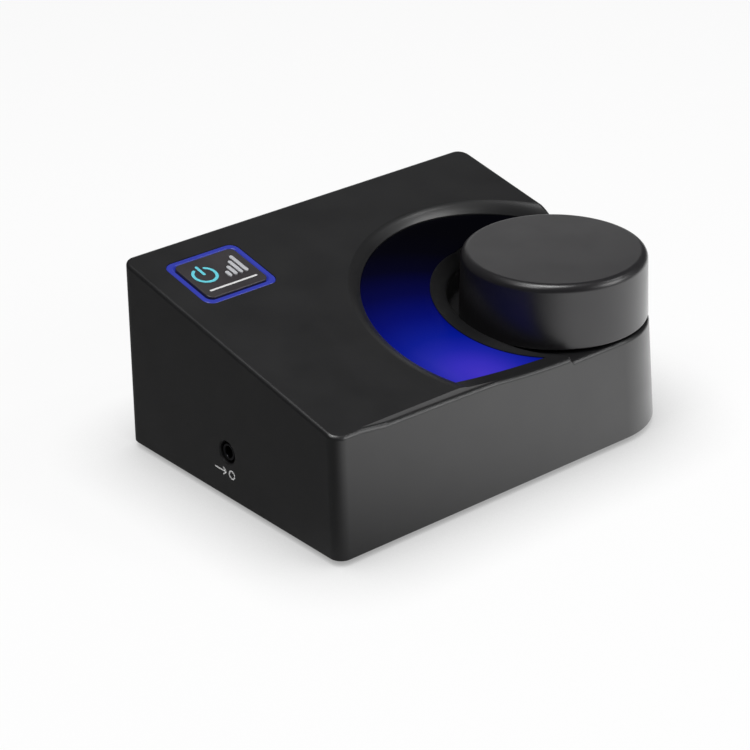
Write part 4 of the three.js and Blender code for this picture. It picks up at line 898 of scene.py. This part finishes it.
def hex_nut(across, bore, thickness, steps=144):
    """radius(angle) = across / 2 / cos(angle from the nearest flat), cut back near both faces to
    0.96 across / 2 + 1.73 depth below the face."""
    angle = np.linspace(0, 2 * np.pi, steps, endpoint=False)
    flat = (angle + math.pi / 6) % (math.pi / 3) - math.pi / 6
    hexagon = across / 2 / np.cos(flat)
    depth, chamfer = np.array([0, 0.08, 0.16, 0.25, 0.35, 0.5]), 0.35
    below = np.concatenate([depth, depth[::-1]])[:, None]
    outside = np.minimum(hexagon, across / 2 * 0.96 + 1.73 * below)
    inside = np.array([[bore + chamfer], [bore], [bore], [bore + chamfer]]) + 0 * angle
    height = [*depth, *(thickness - depth[::-1]), thickness, thickness - chamfer, chamfer, 0]
    return turned_freely(np.concatenate([outside, inside]), height, steps, closed=True)


def thread(radius, depth, pitch, low, high, bore, bore_low, steps=72):
    """A hollow threaded bush, whose thread fades out at its tip:
    radius - depth |2 fraction(height / pitch - turn) - 1|."""
    height = np.linspace(low, high, round((high - low) / pitch * 8) + 1)
    turn = np.linspace(0, 1, steps, endpoint=False)
    wave = np.abs(2 * ((height[:, None] / pitch - turn) % 1) - 1)
    outside = np.minimum(radius - depth * wave, radius - depth + (high - height[:, None]) * 0.9)
    tip = np.array([[bore + 0.5], [bore + 0.15], [bore], [bore]]) + 0 * turn
    outside = np.concatenate([outside, tip])
    return turned_freely(outside, [*height, high, high - 0.15, high - 0.4, bore_low], steps)


def block(low, high, edge=0.3):
    """A box from low to high with its upright edges rounded and its top and bottom edges broken."""
    size, middle = np.subtract(high, low), np.add(high, low) / 2
    rows = [(edge, edge, low[2]), (0, 2 * edge, low[2] + edge),
            (0, 2 * edge, high[2] - edge), (edge, edge, high[2])]
    points, faces = skin(rounded_rows(size[0], size[1], rows, steps=4))
    return points + (middle[0], middle[1], 0), faces


print("a nut has", len(hex_nut(14.2, 5.75, 2.2)[1]), "faces")

# %% Outputs
SOCKET_GAP, BUSH_RADIUS, BUSH_BORE, BUSH_DEPTH = 0.35, 5.6, 3.3, -26.5
THREAD_DEPTH, THREAD_PITCH = 0.28, 0.8
body_back = BACK_Y - WALL - SOCKET_GAP
root = body_back - BACK_Y - 0.5
for side, place in zip(("left", "right"), OUTPUTS):
    low, high = box_of(f"output_jack_{side}")
    body = mesh_object(f"output_socket_{side}", block(low, (high[0], body_back, high[2])))
    bush = thread(BUSH_RADIUS, THREAD_DEPTH, THREAD_PITCH, root, high[1] - BACK_Y, BUSH_BORE, BUSH_DEPTH)
    carved(body, [laid_along("+Y", bush, place)], "UNION")
    dressed(body, nylon, "housing", [f"output_jack_{side}"], crease=40)
    low, high = box_of(f"output_nut_{side}")
    nut = hex_nut(high[0] - low[0], OUTPUT_BORE, high[1] - low[1])
    nut = mesh_object(f"chamfered_nut_{side}", laid_along("+Y", nut, (place[0], low[1], place[2])))
    dressed(nut, nickel, "housing", [f"output_nut_{side}"], crease=25)

# %% Line inputs
BARREL_RADIUS, BARREL_BORE, BARREL_LIP = 4.15, 3.35, 0.3
CORE_RADIUS, CORE_HOLE, CORE_HOLE_DEPTH = 3.2, 1.65, 7.5
core_finishes = ((white_abs, "white_plastic"), (red_abs, "red_plastic"))
for side, place, (finish, slot) in zip(("left", "right"), INPUTS, core_finishes):
    low, high = box_of(f"input_barrel_{side}")
    tip, barrel_root = high[1] - BACK_Y, low[1] - BACK_Y
    groove = [(BARREL_RADIUS, tip - 2.2), (4.0, tip - 2.0), (4.0, tip - 1.6), (BARREL_RADIUS, tip - 1.4)]
    barrel = [(BARREL_RADIUS, barrel_root), *groove,
              *rounded((BARREL_RADIUS - BARREL_LIP, tip - BARREL_LIP), BARREL_LIP, 0, 90, 5),
              *rounded((BARREL_BORE + BARREL_LIP, tip - BARREL_LIP), BARREL_LIP, 90, 180, 5),
              (BARREL_BORE, barrel_root)]
    barrel = mesh_object(f"rolled_barrel_{side}", laid_along("+Y", turned(barrel, 80, closed=True), place))
    dressed(barrel, nickel, "housing", [f"input_barrel_{side}"], crease=40)
    tip = box_of(f"input_core_{side}")[1][1] - BACK_Y
    core = [(CORE_RADIUS, barrel_root), (CORE_RADIUS, tip - 0.25), (2.95, tip), (2.1, tip),
            (CORE_HOLE, tip - 0.45), (CORE_HOLE, tip - CORE_HOLE_DEPTH)]
    core = mesh_object(f"insulating_core_{side}", laid_along("+Y", turned(core, 64), place))
    dressed(core, finish, "housing", [f"input_core_{side}"], crease=35)

# %% Power inlet
INLET_RADIUS, INLET_BORE, INLET_DEPTH, PIN_RADIUS, PIN_ROUND = 4.2, 3.15, -9.9, 1.05, 0.5
low, high = box_of("power_inlet")
tip = high[1] - BACK_Y
inlet = mesh_object("power_socket", block(low, (high[0], body_back, high[2])))
bore = turned([(INLET_BORE, INLET_DEPTH), (INLET_BORE, 1)], 64)
mouth = turned([(INLET_RADIUS, root), (INLET_RADIUS, tip - 0.3), (3.9, tip), (3.6, tip),
                (INLET_BORE, tip - 0.5), (INLET_BORE, root)], 64, closed=True)
carved(inlet, [laid_along("+Y", bore, POWER)])
carved(inlet, [laid_along("+Y", mouth, POWER)], "UNION")
dressed(inlet, nylon, "housing", ["power_inlet"], crease=40)
low, high = box_of("power_pin")
pin = [(PIN_RADIUS, low[1] - BACK_Y),
       *rounded((PIN_RADIUS - PIN_ROUND, high[1] - BACK_Y - PIN_ROUND), PIN_ROUND, 0, 80, 5)]
pin = mesh_object("round_tipped_pin", laid_along("+Y", turned(pin, 32), POWER))
dressed(pin, nickel, "housing", ["power_pin"], crease=40)

# %% Auxiliary input in the left side
RING_RADIUS, RING_BORE, RING_EDGE, RING_MOUTH = 2.7, 1.8, 0.3, 0.4
low, high = box_of("aux_input_bush")
tip, ring_root = AUX[0] - low[0], AUX[0] - high[0]
mouth_ring = [(RING_RADIUS, ring_root),
              *rounded((RING_RADIUS - RING_EDGE, tip - RING_EDGE), RING_EDGE, 0, 90, 5),
              *rounded((RING_BORE + RING_MOUTH, tip - RING_MOUTH), RING_MOUTH, 90, 180, 5),
              (RING_BORE, ring_root)]
mouth_ring = mesh_object("aux_mouth_ring", laid_along("-X", turned(mouth_ring, 64, closed=True), AUX))
dressed(mouth_ring, black_nickel, "housing", ["aux_input_bush"], crease=40)

# %% [markdown]
# Underneath, four pan-head screws with cross recesses hold the base plate, and four rubber feet stand in
# shallow recesses. Each foot has a softened edge and a shallow dimple that grips the table.

# %% Screws and feet
HEAD_RADIUS, HEAD_HEIGHT, SHANK_RADIUS = 2.8, 1.5, 1.25
RECESS_LONG, RECESS_HALF, RECESS_DEPTH = 1.5, 0.32, 0.9
DIMPLE_RADIUS, DIMPLE_DEPTH, FOOT_RADIUS, FOOT_ROUND = 3.2, 0.25, 6.0, 1.0


def pan_head_screw(low, high):
    """A domed head with its seat upwards, and a plain shank with a conical end, from z = low to high."""
    dome = [(POLE, low), (HEAD_RADIUS * 0.5, low + 0.04), (HEAD_RADIUS * 0.8, low + 0.2),
            (HEAD_RADIUS * 0.96, low + 0.55), (HEAD_RADIUS, low + 0.95)]
    shank = [(SHANK_RADIUS, low + HEAD_HEIGHT), (SHANK_RADIUS, high - 1.2), (0.3, high)]
    return turned([*dome, (HEAD_RADIUS, low + HEAD_HEIGHT), *shank], 40)


for number in range(1, 5):
    low, high = box_of(f"base_screw_{number}")
    x, y = (low[:2] + high[:2]) / 2
    points, faces = pan_head_screw(low[2], high[2])
    screw = mesh_object(f"pan_head_screw_{number}", (points + (x, y, 0), faces))
    for wide, deep in ((RECESS_LONG, RECESS_HALF), (RECESS_HALF, RECESS_LONG)):
        recess = plain_box((x - wide, y - deep, low[2] - 1), (x + wide, y + deep, low[2] + RECESS_DEPTH))
        carved(screw, [recess])
    dressed(screw, nickel, "housing", [f"base_screw_{number}"], crease=30)
    low, high = box_of(f"foot_{number}")
    foot = [(POLE, DIMPLE_DEPTH), (DIMPLE_RADIUS, DIMPLE_DEPTH), (DIMPLE_RADIUS + 0.4, 0),
            *rounded((FOOT_RADIUS - FOOT_ROUND, FOOT_ROUND), FOOT_ROUND, -90, 0, 7), (FOOT_RADIUS, high[2])]
    foot = mesh_object(f"rubber_foot_{number}", turned(foot, 72, (low + high) / 2))
    dressed(foot, rubber, "housing", [f"foot_{number}"], crease=40)

# %% [markdown]
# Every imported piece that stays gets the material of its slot.

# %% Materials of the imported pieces
SLOT_MATERIALS = {
    "shell_plastic": shell_abs, "base_plastic": base_abs, "knob_plastic": knob_abs,
    "window_plastic": window_acrylic, "frame_light": frame_guide, "tile_plastic": tile_abs, "rubber": rubber,
    "circuit_board": board_green, "steel": nickel, "brass": brass, "black_plastic": nylon,
    "white_plastic": white_abs, "red_plastic": red_abs, "lamp": epoxy}
for row in frame["record"]["subparts"]:
    packed = frame["nodes"][row["node"]]
    packed.data.materials.clear()
    packed.data.materials.append(SLOT_MATERIALS[row["material_slot"]])

# %% [markdown]
# The controller stands on a white sheet that runs on out of the picture. The sheet is lifted towards white
# where the camera looks at it, as in a cut-out photograph, and darker only close to the object, where a
# painted contact shadow darkens its white glow; a small share of real lit shading, with its real shadow, is
# mixed in, so that a light shadow is left. Gloss on black plastic shows little but its surroundings. So the
# sheet that the reflections see glows with painted light, laid out as a studio sets its cards: dark at the
# back left, bright at the front right, and fading far away.

# %% Floor
SHEET_REACH, SHEET_THICK = 2500.0, 20.0
FLOOR_LIFT, CONTACT_SHADE, CONTACT_REACH = 0.85, 0.7, 30
CARD_DIRECTION, CARD_START, CARD_END = (0.77, -0.64, 0.0), -50, 110
CARD_DARK, CARD_BRIGHT = 0.17, 1.78
FADE_START, FADE_END, FADE_SHARE = 300, 600, 0.25

sheet_material, sheet_tree, sheet = surface("white_sheet", "#f4f4f4", 0.9)
sheet.inputs["Specular IOR Level"].default_value = 0.0
place = add_node(sheet_tree, "ShaderNodeTexCoord").outputs["Object"]
# Painted light for glossy rays: a glow laid out as studio cards, dark at the back left, bright at the front
# right, fading far away.
across = add_node(sheet_tree, "ShaderNodeVectorMath", {"operation": "DOT_PRODUCT"}, i0=place,
                  i1=CARD_DIRECTION)
cards = add_node(sheet_tree, "ShaderNodeMapRange", {"interpolation_type": "SMOOTHSTEP"},
                 Value=across.outputs["Value"], From_Min=CARD_START * MM, From_Max=CARD_END * MM,
                 To_Min=CARD_DARK, To_Max=CARD_BRIGHT)
away = add_node(sheet_tree, "ShaderNodeVectorMath", {"operation": "LENGTH"}, i0=place)
faded = add_node(sheet_tree, "ShaderNodeMapRange", {"interpolation_type": "SMOOTHSTEP"},
                 Value=away.outputs["Value"], From_Min=FADE_START * MM, From_Max=FADE_END * MM,
                 To_Min=1.0, To_Max=FADE_SHARE)
card_light = add_node(sheet_tree, "ShaderNodeMath", {"operation": "MULTIPLY"}, i0=cards.outputs[0],
                      i1=faded.outputs[0])
painted_card_light = add_node(sheet_tree, "ShaderNodeEmission", Color=colour("#ffffff"), Strength=card_light.outputs[0])
# Painted contact shadow: for camera rays the sheet's white glow is darkened by ambient occlusion close to the
# object.
contact = add_node(sheet_tree, "ShaderNodeAmbientOcclusion", {"samples": 8}, Distance=CONTACT_REACH * MM)
shaded = add_node(sheet_tree, "ShaderNodeMapRange", Value=contact.outputs["AO"], To_Min=1 - CONTACT_SHADE)
painted_contact_shadow = add_node(sheet_tree, "ShaderNodeEmission", Color=colour("#ffffff"), Strength=shaded.outputs[0])
ray = add_node(sheet_tree, "ShaderNodeLightPath")
lift = add_node(sheet_tree, "ShaderNodeMath", {"operation": "MULTIPLY"}, i0=ray.outputs["Is Camera Ray"],
                i1=FLOOR_LIFT)
seen = add_node(sheet_tree, "ShaderNodeMixShader", i0=lift.outputs[0], i1=sheet.outputs[0],
                i2=painted_contact_shadow.outputs[0])
lit = add_node(sheet_tree, "ShaderNodeMixShader", i0=ray.outputs["Is Glossy Ray"], i1=seen.outputs[0],
               i2=painted_card_light.outputs[0])
sheet_tree.links.new(lit.outputs[0], sheet_tree.nodes["Material Output"].inputs["Surface"])
floor = mesh_object("floor_sheet", plain_box((-SHEET_REACH, -SHEET_REACH, -SHEET_THICK),
                                             (SHEET_REACH, SHEET_REACH, 0.0)))
floor.data.materials.append(sheet_material)
print("floor is", floor.dimensions[:2], "m")

# %% [markdown]
# A large soft lamp at the front right lights the faces towards it. A small one above it draws the thin bright
# line along the round edges. Two more hang over the top and the left, and a broad weak one stands low at the
# back right, whose reflection gives the knob's flat top its sheen. The rest of the light is even and faint.

# %% Lamps and sky
LAMPS = {"key_lamp": ((0.60, -0.90, 0.50), 0.60, 5), "edge_lamp": ((0.69, -0.48, 0.86), 0.12, 1.2),
         "top_lamp": ((-0.10, 0.0, 1.20), 0.50, 8), "left_lamp": ((-0.61, -0.09, 1.03), 0.30, 3),
         "back_screen": ((0.90, 1.05, 0.32), 0.80, 1)}
LAMP_TARGET, SKY_STRENGTH = (0, 0, 0.03), 0.08

for name, (place, size, power) in LAMPS.items():
    lamp = bpy.data.lights.new(name, "AREA")
    lamp.shape, lamp.size, lamp.energy = "DISK", size, power
    stand = bpy.data.objects.new(name, lamp)
    aim = (Vector(LAMP_TARGET) - Vector(place)).to_track_quat("-Z", "Y").to_matrix().to_4x4()
    stand.matrix_world = Matrix.Translation(place) @ aim
    bpy.context.collection.objects.link(stand)
world = bpy.data.worlds.new("even_sky")
world.use_nodes = True
world.node_tree.nodes["Background"].inputs["Color"].default_value = colour("#ffffff")
world.node_tree.nodes["Background"].inputs["Strength"].default_value = SKY_STRENGTH
bpy.context.scene.world = world
print("lamps:", [lamp.name for lamp in bpy.data.lights])

# %% [markdown]
# The camera stands where the photograph was taken from. Its place, turning and focal length were fitted to
# the straight edges of the housing. The turning is written as three directions: the picture's right, its up,
# and the way back from the object to the camera.

# %% Camera
CAMERA_PLACE, FOCAL_LENGTH, SENSOR_WIDTH = (-0.44954, -0.52860, 0.36225), 121.08, 36
PICTURE_RIGHT = (0.76473954, -0.64419405, -0.01369171)
PICTURE_UP = (0.29606414, 0.33243352, 0.89545183)
TO_CAMERA = (-0.57229316, -0.68884105, 0.44494781)

camera = bpy.data.cameras.new("photo_camera")
camera.lens, camera.sensor_width = FOCAL_LENGTH, SENSOR_WIDTH
camera.clip_start, camera.clip_end = 0.01, 20
eye = bpy.data.objects.new("photo_camera", camera)
turning = Matrix((PICTURE_RIGHT, PICTURE_UP, TO_CAMERA)).transposed().to_4x4()
eye.matrix_world = Matrix.Translation(CAMERA_PLACE) @ turning
bpy.context.collection.objects.link(eye)
bpy.context.scene.camera = eye
bpy.context.scene.view_settings.view_transform = "Standard"
print("camera at, m:", [round(v, 3) for v in eye.matrix_world.translation])

import json
